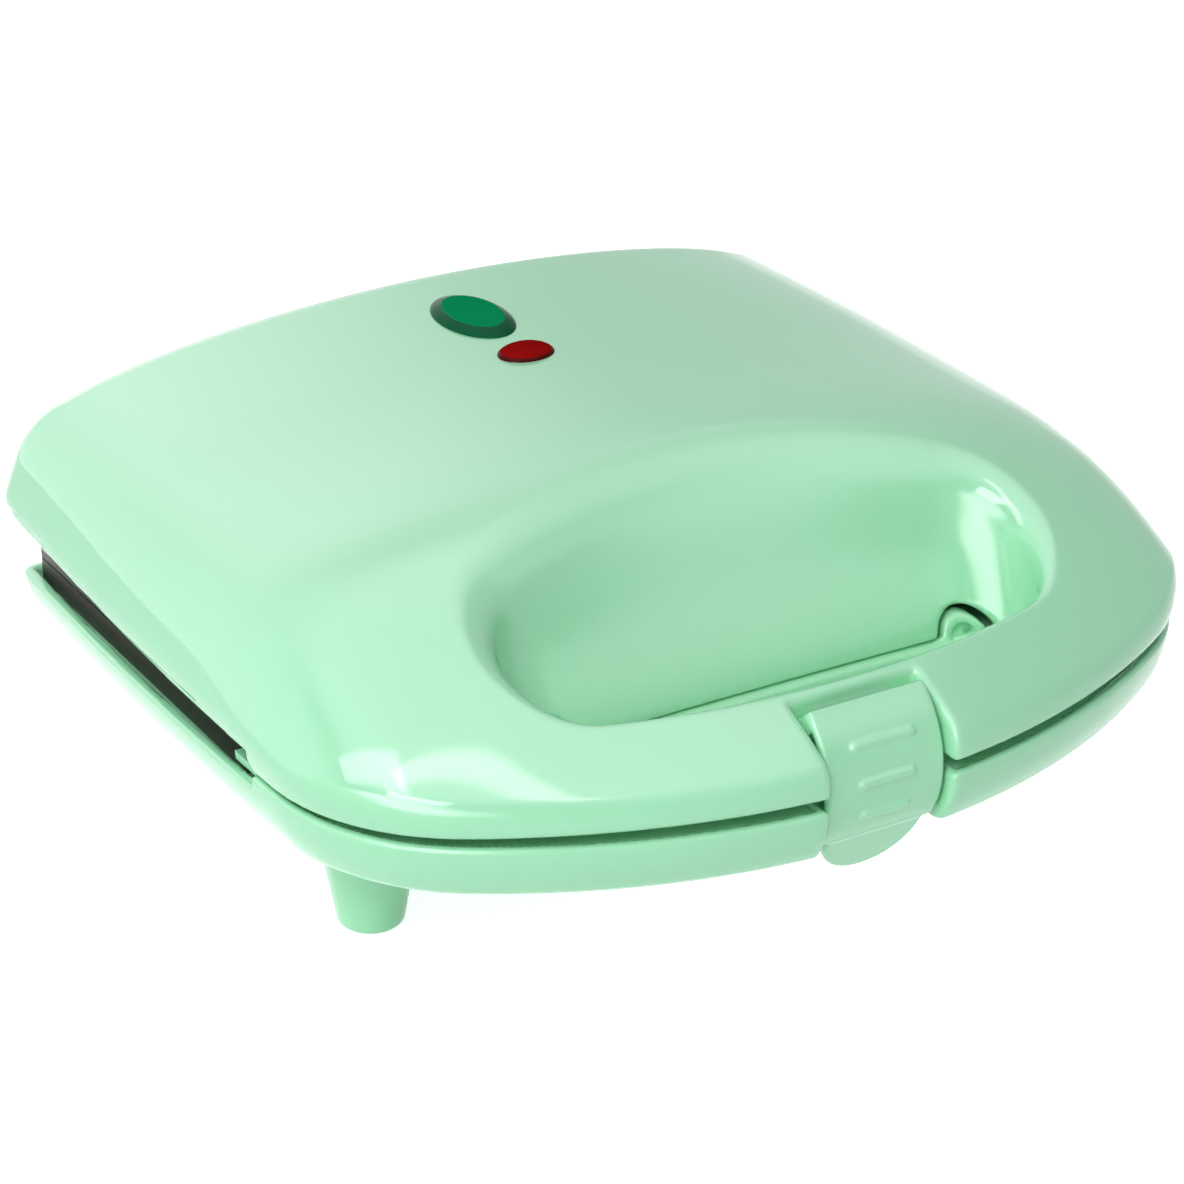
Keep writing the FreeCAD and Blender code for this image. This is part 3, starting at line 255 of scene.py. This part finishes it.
def opening_outline(x, y, z):
    at = {name: line(z) for name, line in opening_lines.items()}
    reach, end_y, end_r = at["half"] - at["end_r"], at["end_y"], at["end_r"]
    ax = np.abs(x)
    vx, vy = ax - reach, y - end_y
    long_arcs, in_end = [], True
    for edge, sign in (("rear", 1), ("front", -1)):
        depth = sign * (at[edge] - end_y)
        radius = (reach ** 2 + depth ** 2 - end_r ** 2) / (2 * (depth - end_r))
        centre = at[edge] - sign * radius
        long_arcs.append(np.hypot(ax, y - centre) - radius)
        in_end = in_end & (sign * (reach * vy - (end_y - centre) * vx) < 0)
    return np.where(in_end, np.hypot(vx, vy) - end_r, np.maximum(*long_arcs))


def opening(x, y, z):
    lean = opening_outline(x, y, z + PROBE) - opening_outline(x, y, z - PROBE)
    return opening_outline(x, y, z) / np.sqrt(1 + lean ** 2)


def plate_ledge(x, y, z, wall, middle):
    ring = np.maximum(np.abs(z - middle) - LEDGE_HALF, wall + LEDGE_SEAT)
    ring = np.maximum(ring, LEDGE_FRONT - y)
    hole = both(np.abs(x) - LEDGE_HOLE_X, np.abs(y - PLATE_CENTRE) - LEDGE_HOLE_Y, PLATE_CORNER)
    return np.maximum(ring, -hole)


def lid(x, y, z):
    ax = np.abs(x)
    hole = opening(x, y, z)
    slot = both(ax - SLOT_HALF_WIDTH, y - LID_SLOT_BACK, SLOT_CORNER)
    set_back = FRONT_SET * np.clip((SET_START - y) / SET_REACH, 0, 1)
    wall, body = shoulder(x, y - set_back, z)
    rim_round = OPENING_ROUND + ROUND_GAIN * np.clip((y - ROUND_START) / ROUND_REACH, 0, 1)
    hollow = np.maximum(body + WALL, y - LID_REAR_INSIDE)
    hollow = np.maximum(both(hollow, WALL - hole, rim_round - WALL), SLOT_WALL - slot)
    body = both(body, -hole, rim_round)
    body = both(body, -slot, SLOT_ROUND)
    front_edge = RIM_HEIGHT - RIM_SLOPE * (y - RIM_PIVOT) - z
    side_edge = LID_SIDE_EDGE + SIDE_SLOPE * (y - FRONT_STEP)
    side_gap = both(FRONT_STEP - y, z - side_edge, STEP_ROUND)
    body = both(body, np.maximum(front_edge, -side_gap), LID_EDGE_ROUND)
    rebate = np.maximum(FRONT_STEP - y, z - side_edge - REBATE_HEIGHT)
    body = np.maximum(body, -np.maximum(rebate, -REBATE_DEPTH - wall))
    notch = np.maximum(np.hypot(ax - NOTCH_X, z - NOTCH_Z) - NOTCH_RADIUS,
                       between(y, NOTCH_FRONT, NOTCH_REAR))
    body = both(body, -notch, NOTCH_ROUND)
    shell = np.minimum(np.maximum(body, -hollow), plate_ledge(x, y, z, wall, UPPER_LEDGE))
    web = brick(ax, y, z, (HINGE_X - LUG_HALF_WIDTH, LUG_FRONT, HINGE_Z),
                (HINGE_X + LUG_HALF_WIDTH, LUG_REAR, LUG_TOP), HINGE_ROUND)
    eye = both(np.hypot(y - HINGE_Y, z - HINGE_Z) - KNUCKLE_RADIUS,
               np.abs(ax - HINGE_X) - LUG_HALF_WIDTH, HINGE_ROUND)
    return np.minimum(shell, np.minimum(web, eye))


def base(x, y, z):
    ax = np.abs(x)
    wall, hole = base_wall(x, y, z), opening(x, y, z)
    lean = floor_line(y + PROBE) - floor_line(y - PROBE)
    under = (floor_line(y) - z) / np.sqrt(1 + lean ** 2)
    slot = both(ax - SLOT_HALF_WIDTH, y - BASE_SLOT_BACK, SLOT_CORNER)
    hollow = np.maximum(both(wall + WALL, under + WALL, INNER_ROUND), y - BASE_REAR_INSIDE)
    hollow = np.maximum(hollow, np.maximum(WALL - hole, SLOT_WALL - slot))
    body = both(wall, under, BASE_ROUND)
    grow = (LEG_TOP_RADIUS - LEG_FOOT_RADIUS) / (LEG_HEIGHT - LEG_LIFT)
    for leg_x, leg_y in LEGS:
        cone = np.hypot(ax - leg_x, y - leg_y) - LEG_FOOT_RADIUS - grow * (z - LEG_LIFT)
        leg = both(cone / math.hypot(1, grow), between(z, LEG_LIFT, LEG_HEIGHT), LEG_ROUND)
        body = either(body, leg, LEG_FILLET)
    front_top = np.minimum(z - BASE_FRONT_TOP, np.maximum(hole - WALL, z - COLLAR_TOP))
    side_top = np.minimum(y - FRONT_STEP, z - BASE_SIDE_TOP + SIDE_SLOPE * (y - FRONT_STEP))
    body = both(body, np.maximum(front_top, side_top), BASE_EDGE_ROUND)
    body = both(body, -hole, BASE_OPENING_ROUND)
    body = both(body, -slot, SLOT_ROUND)
    shell = np.minimum(np.maximum(body, -hollow), plate_ledge(x, y, z, wall, LOWER_LEDGE))
    lip = brick(ax, y, z, (ACROSS, LIP_FRONT, LIP_LOW), (LIP_HALF_WIDTH, LIP_REAR, LIP_HIGH),
                LIP_ROUND)
    about = np.hypot(ax - NOTCH_X, z - NOTCH_Z)
    post = np.maximum(about - POST_RADIUS, between(y, POST_FRONT, POST_REAR))
    post = both(post, POST_CLEAR - hole, POST_ROUND)
    post = both(post, -np.maximum(about - POST_BORE, y - BORE_FLOOR), BORE_ROUND)
    shell = np.minimum(np.minimum(shell, lip), post)
    eye, back = np.hypot(y - HINGE_Y, z - HINGE_Z) - KNUCKLE_RADIUS, y - EAR_ROOT
    root = np.maximum(between(back, 0, EAR_REACH),
                      between(z, EAR_LOW + back * EAR_LOW_RISE, EAR_TOP + back * EAR_TOP_RISE))
    for middle in EAR_MIDDLES:
        ear = both(np.minimum(eye, root), np.abs(ax - middle) - EAR_HALF_WIDTH, HINGE_ROUND)
        shell = np.minimum(shell, ear)
    return shell


def latch(x, y, z):
    ax = np.abs(x)
    u, v = LATCH_Y - y, z - LATCH_Z
    ring = np.hypot(u, v)
    shield = both(ring - LATCH_RADIUS, LATCH_RADIUS - LATCH_WALL - ring, LATCH_EDGE)
    ends = np.maximum(v * math.cos(LATCH_TOP) - u * math.sin(LATCH_TOP),
                      u * math.sin(LATCH_LOW) - v * math.cos(LATCH_LOW))
    shield = both(both(shield, ends, LATCH_EDGE), ax - LATCH_HALF_WIDTH, LATCH_SIDE_ROUND)
    for angle, half in LATCH_RIBS:
        a, r = math.radians(angle), LATCH_RADIUS - RIB_SINK
        rib = np.sqrt(np.maximum(ax - half, 0) ** 2 + (u - r * math.cos(a)) ** 2
                      + (v - r * math.sin(a)) ** 2) - RIB_RADIUS
        shield = either(shield, rib, RIB_FILLET)
    crease_y = y - (LATCH_Y - LATCH_RADIUS * math.cos(LATCH_LOW))
    crease_z = z - (LATCH_Z + LATCH_RADIUS * math.sin(LATCH_LOW))
    along = crease_y * math.sin(TONGUE_LEAN) - crease_z * math.cos(TONGUE_LEAN)
    across = crease_y * math.cos(TONGUE_LEAN) + crease_z * math.sin(TONGUE_LEAN)
    tongue = both(np.hypot(x, along) - TONGUE_RADIUS, between(across, 0, LATCH_WALL), TONGUE_ROUND)
    shield = either(shield, np.maximum(tongue, -TONGUE_LAP - along), TONGUE_FILLET)
    pin_y, pin_z = y - LATCH_PIN_Y, z - LATCH_PIN_Z
    spoke = np.array([SPOKE_Y, SPOKE_Z]) / math.hypot(SPOKE_Y, SPOKE_Z)
    reach, side = pin_y * spoke[0] + pin_z * spoke[1], pin_y * spoke[1] - pin_z * spoke[0]
    web = np.maximum(between(reach, 0, WEB_REACH), np.abs(side) - WEB_HALF)
    arms = both(np.minimum(np.hypot(pin_y, pin_z) - LATCH_EYE, web),
                between(ax, ARM_INSIDE, LATCH_HALF_WIDTH), ARM_ROUND)
    tooth = brick(ax, y, z, (ACROSS, TOOTH_ROOT, TOOTH_LOW),
                  (TOOTH_HALF_WIDTH, TOOTH_TIP, TOOTH_HIGH), TOOTH_ROUND)
    return np.minimum(np.minimum(shield, arms), tooth)


# Meshes: points on each form's surface, joined by quads
SLAB = 24
SETTLE_ROUNDS, NUDGE, LEAST_STEEP, LONGEST_MOVE = 2, 0.1, 0.2, 0.5


def sampled(form, low, high, step):
    """Samples of a form that is the same on both sides of X = 0."""
    half = np.arange(math.ceil(high[0] / step) + 1) * step
    y, z = np.arange(low[1], high[1] + step, step), np.arange(low[2], high[2] + step, step)
    right = np.concatenate([form(half[i:i + SLAB, None, None], y[None, :, None], z[None, None, :])
                            for i in range(0, len(half), SLAB)])
    return np.concatenate([right[:0:-1], right]), np.array([-half[-1], y[0], z[0]])


def surface_net(field, origin, step):
    """One point in each cell that the surface crosses, and a quad round each edge that it crosses."""
    shape = np.array(field.shape) - 1
    corners = [(i, j, k) for i in (0, 1) for j in (0, 1) for k in (0, 1)]

    def shifted(corner):
        return field[tuple(slice(o, o + n) for o, n in zip(corner, shape))]

    count = sum((shifted(c) < 0).astype(np.int8) for c in corners)
    cells = np.argwhere((count > 0) & (count < len(corners)))
    index = np.full(shape, -1)
    index[tuple(cells.T)] = np.arange(len(cells))
    value = {c: field[tuple((cells + c).T)] for c in corners}
    total, hits = np.zeros((len(cells), 3)), np.zeros(len(cells))
    for a in corners:
        for axis in range(3):
            if a[axis]:
                continue
            b = tuple(o + (n == axis) for n, o in enumerate(a))
            crossed = (value[a] < 0) != (value[b] < 0)
            share = value[a][crossed] / (value[a][crossed] - value[b][crossed])
            total[crossed] += np.array(a, float) + np.outer(share, np.eye(3)[axis])
            hits[crossed] += 1
    points = origin + step * (cells + total / hits[:, None])
    quads = []
    for axis in range(3):
        one, two = [n for n in range(3) if n != axis]
        first = [slice(1, -1)] * 3
        first[axis] = slice(0, -1)
        second = list(first)
        second[axis] = slice(1, None)
        inside = field[tuple(first)] < 0
        at = np.argwhere(inside != (field[tuple(second)] < 0))
        facing = inside[tuple(at.T)]
        at = at + 1
        at[:, axis] -= 1
        ring = []
        for du, dv in ((0, 0), (1, 0), (1, 1), (0, 1)):
            cell = at.copy()
            cell[:, one] -= 1 - du
            cell[:, two] -= 1 - dv
            ring.append(index[tuple(cell.T)])
        ring = np.stack(ring, 1)
        back = ~facing if axis != 1 else facing
        ring[back] = ring[back][:, ::-1]
        quads.append(ring)
    return points, np.concatenate(quads)


def settled(form, points):
    """Moves points onto the form's surface."""
    for _ in range(SETTLE_ROUNDS):
        x, y, z = points.T
        here = form(x, y, z)
        slope = np.stack([form(x + NUDGE, y, z) - here, form(x, y + NUDGE, z) - here,
                          form(x, y, z + NUDGE) - here], 1) / NUDGE
        steep = np.maximum((slope ** 2).sum(1), LEAST_STEEP)
        points = points - np.clip(here / steep, -LONGEST_MOVE, LONGEST_MOVE)[:, None] * slope
    return points


def add_mesh(name, points, faces):
    data = bpy.data.meshes.new(name)
    data.from_pydata(points, [], faces)
    data.update()
    piece = bpy.data.objects.new(name, data)
    bpy.context.scene.collection.objects.link(piece)
    return piece


def smooth_mesh(name, points, faces):
    piece = add_mesh(name, points, faces)
    piece.data.polygons.foreach_set("use_smooth", np.ones(len(faces), bool))
    return piece


def dress(piece, body, node, material):
    piece.data.materials.clear()
    piece.data.materials.append(material)
    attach(piece, body)
    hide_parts(node)


# Materials

def new_material(name, **values):
    material = bpy.data.materials.new(name)
    material.use_nodes = True
    shader = material.node_tree.nodes["Principled BSDF"]
    for socket, value in values.items():
        shader.inputs[socket.replace("_", " ")].default_value = value
    return material, material.node_tree.nodes, material.node_tree.links, shader


def noise(nodes, links, scale, detail):
    place = nodes.new("ShaderNodeTexCoord")
    texture = nodes.new("ShaderNodeTexNoise")
    texture.inputs["Scale"].default_value = scale
    texture.inputs["Detail"].default_value = detail
    links.new(place.outputs["Object"], texture.inputs["Vector"])
    return texture.outputs["Fac"]


def ramp(nodes, links, factor, stops):
    item = nodes.new("ShaderNodeValToRGB")
    for element, (place, colour) in zip(item.color_ramp.elements, stops):
        element.position, element.color = place, colour
    links.new(factor, item.inputs["Fac"])
    return item.outputs["Color"]


def spread(nodes, links, factor, low, high):
    item = nodes.new("ShaderNodeMapRange")
    item.inputs["To Min"].default_value, item.inputs["To Max"].default_value = low, high
    links.new(factor, item.inputs["Value"])
    return item.outputs["Result"]


def bump(nodes, links, shader, height, strength, distance):
    item = nodes.new("ShaderNodeBump")
    item.inputs["Strength"].default_value = strength
    item.inputs["Distance"].default_value = distance
    links.new(height, item.inputs["Height"])
    links.new(item.outputs["Normal"], shader.inputs["Normal"])


def shades(colour, dark, light):
    return [tuple(min(1.0, c * f) for c in colour) + (1,) for f in (dark, light)]


# Each noise is a scale and a detail
CLOUDS, GLOSS_PATCHES, GRAIN_DETAIL, GRAIN_STRENGTH = (14.0, 4.0), (60.0, 3.0), 2.0, 0.25
CLOUD_LOW, CLOUD_HIGH = 0.3, 0.7


def finish_material(name, colour, vary, roughness, grain, depth, **values):
    """Material with a slight change of colour and gloss over its surface and a fine grain."""
    material, nodes, links, shader = new_material(name, **values)
    dark, light = shades(colour, 1 - vary, 1 + vary)
    stops = [(CLOUD_LOW, dark), (CLOUD_HIGH, light)]
    links.new(ramp(nodes, links, noise(nodes, links, *CLOUDS), stops), shader.inputs["Base Color"])
    gloss = spread(nodes, links, noise(nodes, links, *GLOSS_PATCHES), *roughness)
    links.new(gloss, shader.inputs["Roughness"])
    bump(nodes, links, shader, noise(nodes, links, grain, GRAIN_DETAIL), GRAIN_STRENGTH, depth)
    return material


# Colour, its change, roughness, scale and depth of the grain
mint = finish_material("mint_plastic", (0.35, 0.765, 0.485), 0.012, (0.07, 0.10), 900.0, 0.00001,
                       Specular_IOR_Level=0.45)
coating = finish_material("plate_coating", (0.045, 0.040, 0.034), 0.2, (0.34, 0.46), 1500.0, 0.00005)
steel = finish_material("plain_steel", (0.55, 0.55, 0.56), 0.08, (0.24, 0.4), 2500.0, 0.00002,
                        Metallic=1.0)
bright = finish_material("bright_sheet", (0.80, 0.80, 0.81), 0.05, (0.18, 0.32), 900.0, 0.00003,
                         Metallic=1.0)
rubber = finish_material("pad_rubber", (0.025, 0.025, 0.026), 0.15, (0.6, 0.8), 2200.0, 0.00006)
cream = finish_material("inner_plastic", (0.66, 0.64, 0.57), 0.04, (0.4, 0.55), 1200.0, 0.00003)
sleeve = finish_material("wire_sleeve", (0.50, 0.46, 0.38), 0.2, (0.65, 0.85), 3000.0, 0.00008)
glass = finish_material("lamp_glass", (0.95, 0.9, 0.85), 0.02, (0.03, 0.08), 400.0, 0.00001,
                        Transmission_Weight=0.9, IOR=1.5)

# Ovals of the two lenses
GREEN = dict(centre_y=69.8, half_x=8.6, half_y=14.3)
RED = dict(centre_y=44.6, half_x=7.0, half_y=5.6)
LINE_SCALE, LINE_WOBBLE, LINE_DARK, LINE_LIGHT = 440.0, 0.6, 0.78, 1.16
LINE_LOW, LINE_HIGH, LINE_STRENGTH, LINE_DEPTH = 0.15, 0.85, 0.05, 0.0001
LENS_PATCHES, LENS_ROUGHNESS = (300.0, 2.0), (0.05, 0.12)
EDGE_BLUR, RIM_SPECULAR = 0.02, 0.02
BLACK, WHITE = (0, 0, 0, 1), (1, 1, 1, 1)


def lens_material(name, inner, painted_bevel_shade, edge, centre_y, half_x, half_y):
    """Tinted clear plastic: a bright middle with fine moulded lines inside a bevel with painted shade,
    the same tint darkened.
    """
    material, nodes, links, shader = new_material(name)
    place = nodes.new("ShaderNodeTexCoord")
    lines = nodes.new("ShaderNodeTexWave")
    lines.bands_direction = "X"
    lines.inputs["Scale"].default_value = LINE_SCALE
    lines.inputs["Distortion"].default_value = LINE_WOBBLE
    links.new(place.outputs["Object"], lines.inputs["Vector"])
    oval = nodes.new("ShaderNodeMapping")
    oval.inputs["Scale"].default_value = (1000 / half_x, 1000 / half_y, 0)
    oval.inputs["Location"].default_value = (0, -centre_y / half_y, 0)
    links.new(place.outputs["Object"], oval.inputs["Vector"])
    reach = nodes.new("ShaderNodeVectorMath")
    reach.operation = "LENGTH"
    links.new(oval.outputs["Vector"], reach.inputs[0])
    dark, light = shades(inner, LINE_DARK, LINE_LIGHT)
    middle = ramp(nodes, links, lines.outputs["Fac"], [(LINE_LOW, dark), (LINE_HIGH, light)])
    # Bevel ring: there the colour turns to the darkened tint, painted shade on the bevel; the same
    # ring also raises the specular
    ring = ramp(nodes, links, reach.outputs["Value"],
                [(edge - EDGE_BLUR, BLACK), (edge + EDGE_BLUR, WHITE)])
    mix = nodes.new("ShaderNodeMix")
    mix.data_type = "RGBA"
    links.new(ring, mix.inputs["Factor"])
    links.new(middle, mix.inputs["A"])
    mix.inputs["B"].default_value = painted_bevel_shade + (1,)
    links.new(mix.outputs["Result"], shader.inputs["Base Color"])
    gloss = spread(nodes, links, noise(nodes, links, *LENS_PATCHES), *LENS_ROUGHNESS)
    links.new(gloss, shader.inputs["Roughness"])
    specular = spread(nodes, links, ring, 0.0, RIM_SPECULAR)
    links.new(specular, shader.inputs["Specular IOR Level"])
    bump(nodes, links, shader, lines.outputs["Fac"], LINE_STRENGTH, LINE_DEPTH)
    return material


# Each lens: its tint, then that tint darkened as painted shade for the bevel, then where the bevel
# starts
emerald = lens_material("green_lens", (0.004, 0.29, 0.11), (0.003, 0.095, 0.040), 0.74, **GREEN)
ruby = lens_material("red_lens", (0.30, 0.005, 0.005), (0.07, 0.004, 0.004), 0.90, **RED)

# Housings and latch: the corners of the sampled space and the step
STEP = 0.8
LATCH_STEP = 0.4


def moulded(name, form, low, high, step, body, node):
    field, origin = sampled(form, low, high, step)
    points, quads = surface_net(field, origin, step)
    piece = smooth_mesh(name, settled(form, points) * MM, quads)
    dress(piece, body, node, mint)


moulded("lid_housing", lid, (0, -111, 35.5), (113.5, 110, 87), STEP, "lid", "lid_shell")
moulded("base_housing", base, (0, -111, -0.5), (112, 110, 49), STEP, "base", "base_shell")
moulded("latch_shield", latch, (0, -109, 16), (16, -90, 61), LATCH_STEP, "latch", "latch")

# Lamp lenses: one nearly flat with a broad bevel, one domed. Each profile goes inwards from the
# rim, as shares of the oval and of the height; a height below zero is in millimetres.
LENS_SIDES = 96
BEVELLED = [(1.0, -3.0), (1.0, 0.10), (0.99, 0.26), (0.965, 0.40), (0.92, 0.54), (0.84, 0.72),
            (0.76, 0.88), (0.73, 0.94), (0.66, 0.965), (0.4, 0.985), (0.2, 0.995)]
DOMED = [(1.0, -3.0), (1.0, 0.06), (0.99, 0.18), (0.96, 0.30), (0.90, 0.44), (0.80, 0.60),
         (0.65, 0.77), (0.5, 0.87), (0.3, 0.955), (0.15, 0.99)]


def lens_piece(name, profile, seat, proud, node, slot, material, centre_y, half_x, half_y):
    points, faces = [], []
    for share, height in profile:
        rise = seat + (height * proud if height > 0 else height)
        for k in range(LENS_SIDES):
            a = 2 * math.pi * k / LENS_SIDES
            points.append((share * half_x * math.cos(a) * MM,
                           (centre_y + share * half_y * math.sin(a)) * MM, rise * MM))
    for row in range(len(profile) - 1):
        for k in range(LENS_SIDES):
            a, b = row * LENS_SIDES + k, row * LENS_SIDES + (k + 1) % LENS_SIDES
            faces.append((a, b, b + LENS_SIDES, a + LENS_SIDES))
    top = len(points)
    points.append((0, centre_y * MM, (seat + proud) * MM))
    last = (len(profile) - 1) * LENS_SIDES
    faces += [(last + k, last + (k + 1) % LENS_SIDES, top) for k in range(LENS_SIDES)]
    faces.append(tuple(reversed(range(LENS_SIDES))))
    dress(smooth_mesh(name, points, faces), "lid", node, material)


lens_piece("ready_lens", BEVELLED, 83.6, 2.2, "ready_lamp_lens", "green_lens", emerald, **GREEN)
lens_piece("power_lens", DOMED, 83.8, 2.5, "power_lamp_lens", "red_lens", ruby, **RED)

# Materials of the solids that are shown as they are
FINISHES = {"upper_handle_cover": mint, "lower_handle_cover": mint,
            "upper_plate": coating, "lower_plate": coating,
            "upper_plate_screws": steel, "lower_plate_screws": steel,
            "upper_cover_screws": steel, "lower_cover_screws": steel,
            "upper_heater": steel, "lower_heater": steel,
            "upper_reflector": bright, "lower_reflector": bright,
            "hinge_pins": steel, "latch_pin": steel, "foot_pads": rubber,
            "lamp_holder": cream, "neon_lamps": glass, "thermostat": cream, "thermal_fuse": bright,
            "terminal_block": cream, "base_wiring": sleeve, "cord_inlet": rubber}
for node, material in FINISHES.items():
    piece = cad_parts[node]
    piece.data.materials.clear()
    piece.data.materials.append(material)

# Stage, in metres: a white floor that keeps the shadow, soft lamps and the photograph's camera
FLOOR_HALF, FLOOR_COLOUR, FLOOR_GLOW = 4.0, (0.95, 0.95, 0.95, 1), 0.80
WORLD_LEVEL, WORLD_TILT = 0.46, 0.10
MIDDLE = (0, 0, 0.05)
# Name, place, aim, size and radiance
LAMPS = [("key", (-0.66, -0.55, 0.95), MIDDLE, (0.45, 0.45), 10.6),
         ("low_fill", (-0.90, -0.25, 0.13), (-0.1, 0, 0.03), (0.9, 0.24), 1.6)]
# The same, then the width of the faded edge and the turn about the aim
SHEENS = [("back_left_sheen", (-0.62, 1.14, 0.50), MIDDLE, (4.6, 2.0), 1.8, 0.6, 0.0),
          ("back_sheen", (0.40, 1.10, 1.05), MIDDLE, (2.2, 1.3), 0.9, 0.8, 0.0),
          ("front_left_sheen", (-1.09, -0.71, 0.50), MIDDLE, (1.8, 1.2), 8.0, 0.6, 0.0),
          ("front_right_sheen", (0.50, -0.87, 1.15), MIDDLE, (2.0, 1.6), 2.0, 0.9, 0.0),
          ("top_sheen", (-0.15, 0.2, 1.25), (-0.15, 0.201, 0), (2.6, 2.4), 3.0, 0.6, 0.0),
          ("window_near", (-0.275, -0.304, 1.055), (-0.275, -0.303, 0), (0.50, 0.085), 7.0, 0, -0.12),
          ("window_far", (-0.86, -0.03, 1.055), (-0.86, -0.029, 0), (1.0, 0.21), 7.0, 0, -0.513)]
LENS_LENGTH, SENSOR_WIDTH = 119.42, 36.0
CAMERA_PLACE, CAMERA_DOWN, CAMERA_TURN = (-0.41286, -0.68341, 0.43885), 26.460, -30.603


def white_for_camera(nodes, links):
    """One for what the camera sees straight, mirrored or through glass, else zero."""
    path = nodes.new("ShaderNodeLightPath")
    seen = path.outputs["Is Camera Ray"]
    for name in ("Is Glossy Ray", "Is Transmission Ray"):
        either_ray = nodes.new("ShaderNodeMath")
        either_ray.operation = "MAXIMUM"
        links.new(seen, either_ray.inputs[0])
        links.new(path.outputs[name], either_ray.inputs[1])
        seen = either_ray.outputs["Value"]
    return seen


def stage_floor():
    corners = [(i * FLOOR_HALF, j * FLOOR_HALF, 0) for i, j in ((-1, -1), (1, -1), (1, 1), (-1, 1))]
    floor = add_mesh("floor", corners, [(0, 1, 2, 3)])
    material, nodes, links, shader = new_material("floor_white", Base_Color=FLOOR_COLOUR,
                                                  Roughness=0.9, Specular_IOR_Level=0.0)
    glow = nodes.new("ShaderNodeEmission")
    total = nodes.new("ShaderNodeAddShader")
    strength = spread(nodes, links, white_for_camera(nodes, links), 0.0, FLOOR_GLOW)
    links.new(strength, glow.inputs["Strength"])
    links.new(shader.outputs["BSDF"], total.inputs[0])
    links.new(glow.outputs["Emission"], total.inputs[1])
    links.new(total.outputs["Shader"], nodes["Material Output"].inputs["Surface"])
    floor.data.materials.append(material)


def area_lamp(name, place, aim, size, radiance, turn=0.0):
    """Soft lamp of an even brightness."""
    data = bpy.data.lights.new(name, "AREA")
    data.shape, data.size, data.size_y = "RECTANGLE", size[0], size[1]
    data.energy = radiance * math.pi * size[0] * size[1]
    lamp = bpy.data.objects.new(name, data)
    lamp.location = place
    facing = (Vector(aim) - Vector(place)).to_track_quat("-Z", "Y").to_matrix().to_4x4()
    lamp.rotation_euler = (facing @ Matrix.Rotation(turn, 4, "Z")).to_euler()
    lamp.visible_camera = False
    bpy.context.scene.collection.objects.link(lamp)
    return lamp


def sheen_lamp(name, place, aim, size, radiance, edge, turn):
    """Panel that shows only in the gloss and, with an edge, fades outwards."""
    lamp = area_lamp(name, place, aim, size, radiance, turn)
    lamp.visible_diffuse = False
    if not edge:
        return
    lamp.data.use_nodes = True
    nodes, links = lamp.data.node_tree.nodes, lamp.data.node_tree.links
    where, oval = nodes.new("ShaderNodeNewGeometry"), nodes.new("ShaderNodeMapping")
    oval.inputs["Scale"].default_value = (2, 2, 0)
    oval.inputs["Location"].default_value = (-1, -1, 0)
    links.new(where.outputs["Parametric"], oval.inputs["Vector"])
    fade = nodes.new("ShaderNodeTexGradient")
    fade.gradient_type = "SPHERICAL"
    links.new(oval.outputs["Vector"], fade.inputs["Vector"])
    soft = nodes.new("ShaderNodeMapRange")
    soft.interpolation_type = "SMOOTHSTEP"
    soft.inputs["From Max"].default_value = edge
    links.new(fade.outputs["Fac"], soft.inputs["Value"])
    links.new(soft.outputs["Result"], nodes["Emission"].inputs["Strength"])


def white_world():
    """White to the camera; as light, brighter from the left than from the right."""
    world = bpy.data.worlds.new("studio")
    world.use_nodes = True
    nodes, links = world.node_tree.nodes, world.node_tree.links
    back = nodes["Background"]
    back.inputs["Color"].default_value = WHITE
    place, parts = nodes.new("ShaderNodeTexCoord"), nodes.new("ShaderNodeSeparateXYZ")
    links.new(place.outputs["Generated"], parts.inputs["Vector"])
    side = nodes.new("ShaderNodeMapRange")
    side.inputs["From Min"].default_value, side.inputs["From Max"].default_value = -1.0, 1.0
    side.inputs["To Min"].default_value = WORLD_LEVEL + WORLD_TILT
    side.inputs["To Max"].default_value = WORLD_LEVEL - WORLD_TILT
    links.new(parts.outputs["X"], side.inputs["Value"])
    mix = nodes.new("ShaderNodeMix")
    links.new(white_for_camera(nodes, links), mix.inputs["Factor"])
    links.new(side.outputs["Result"], mix.inputs["A"])
    mix.inputs["B"].default_value = 1.0
    links.new(mix.outputs["Result"], back.inputs["Strength"])
    bpy.context.scene.world = world


stage_floor()
white_world()
for lamp in LAMPS:
    area_lamp(*lamp)
for lamp in SHEENS:
    sheen_lamp(*lamp)

camera_data = bpy.data.cameras.new("photo_view")
camera_data.lens, camera_data.sensor_width = LENS_LENGTH, SENSOR_WIDTH
camera = bpy.data.objects.new("photo_view", camera_data)
camera.location = CAMERA_PLACE
camera.rotation_euler = (math.radians(90 - CAMERA_DOWN), 0, math.radians(CAMERA_TURN))
bpy.context.scene.collection.objects.link(camera)
bpy.context.scene.camera = camera
bpy.context.scene.view_settings.view_transform = "Standard"
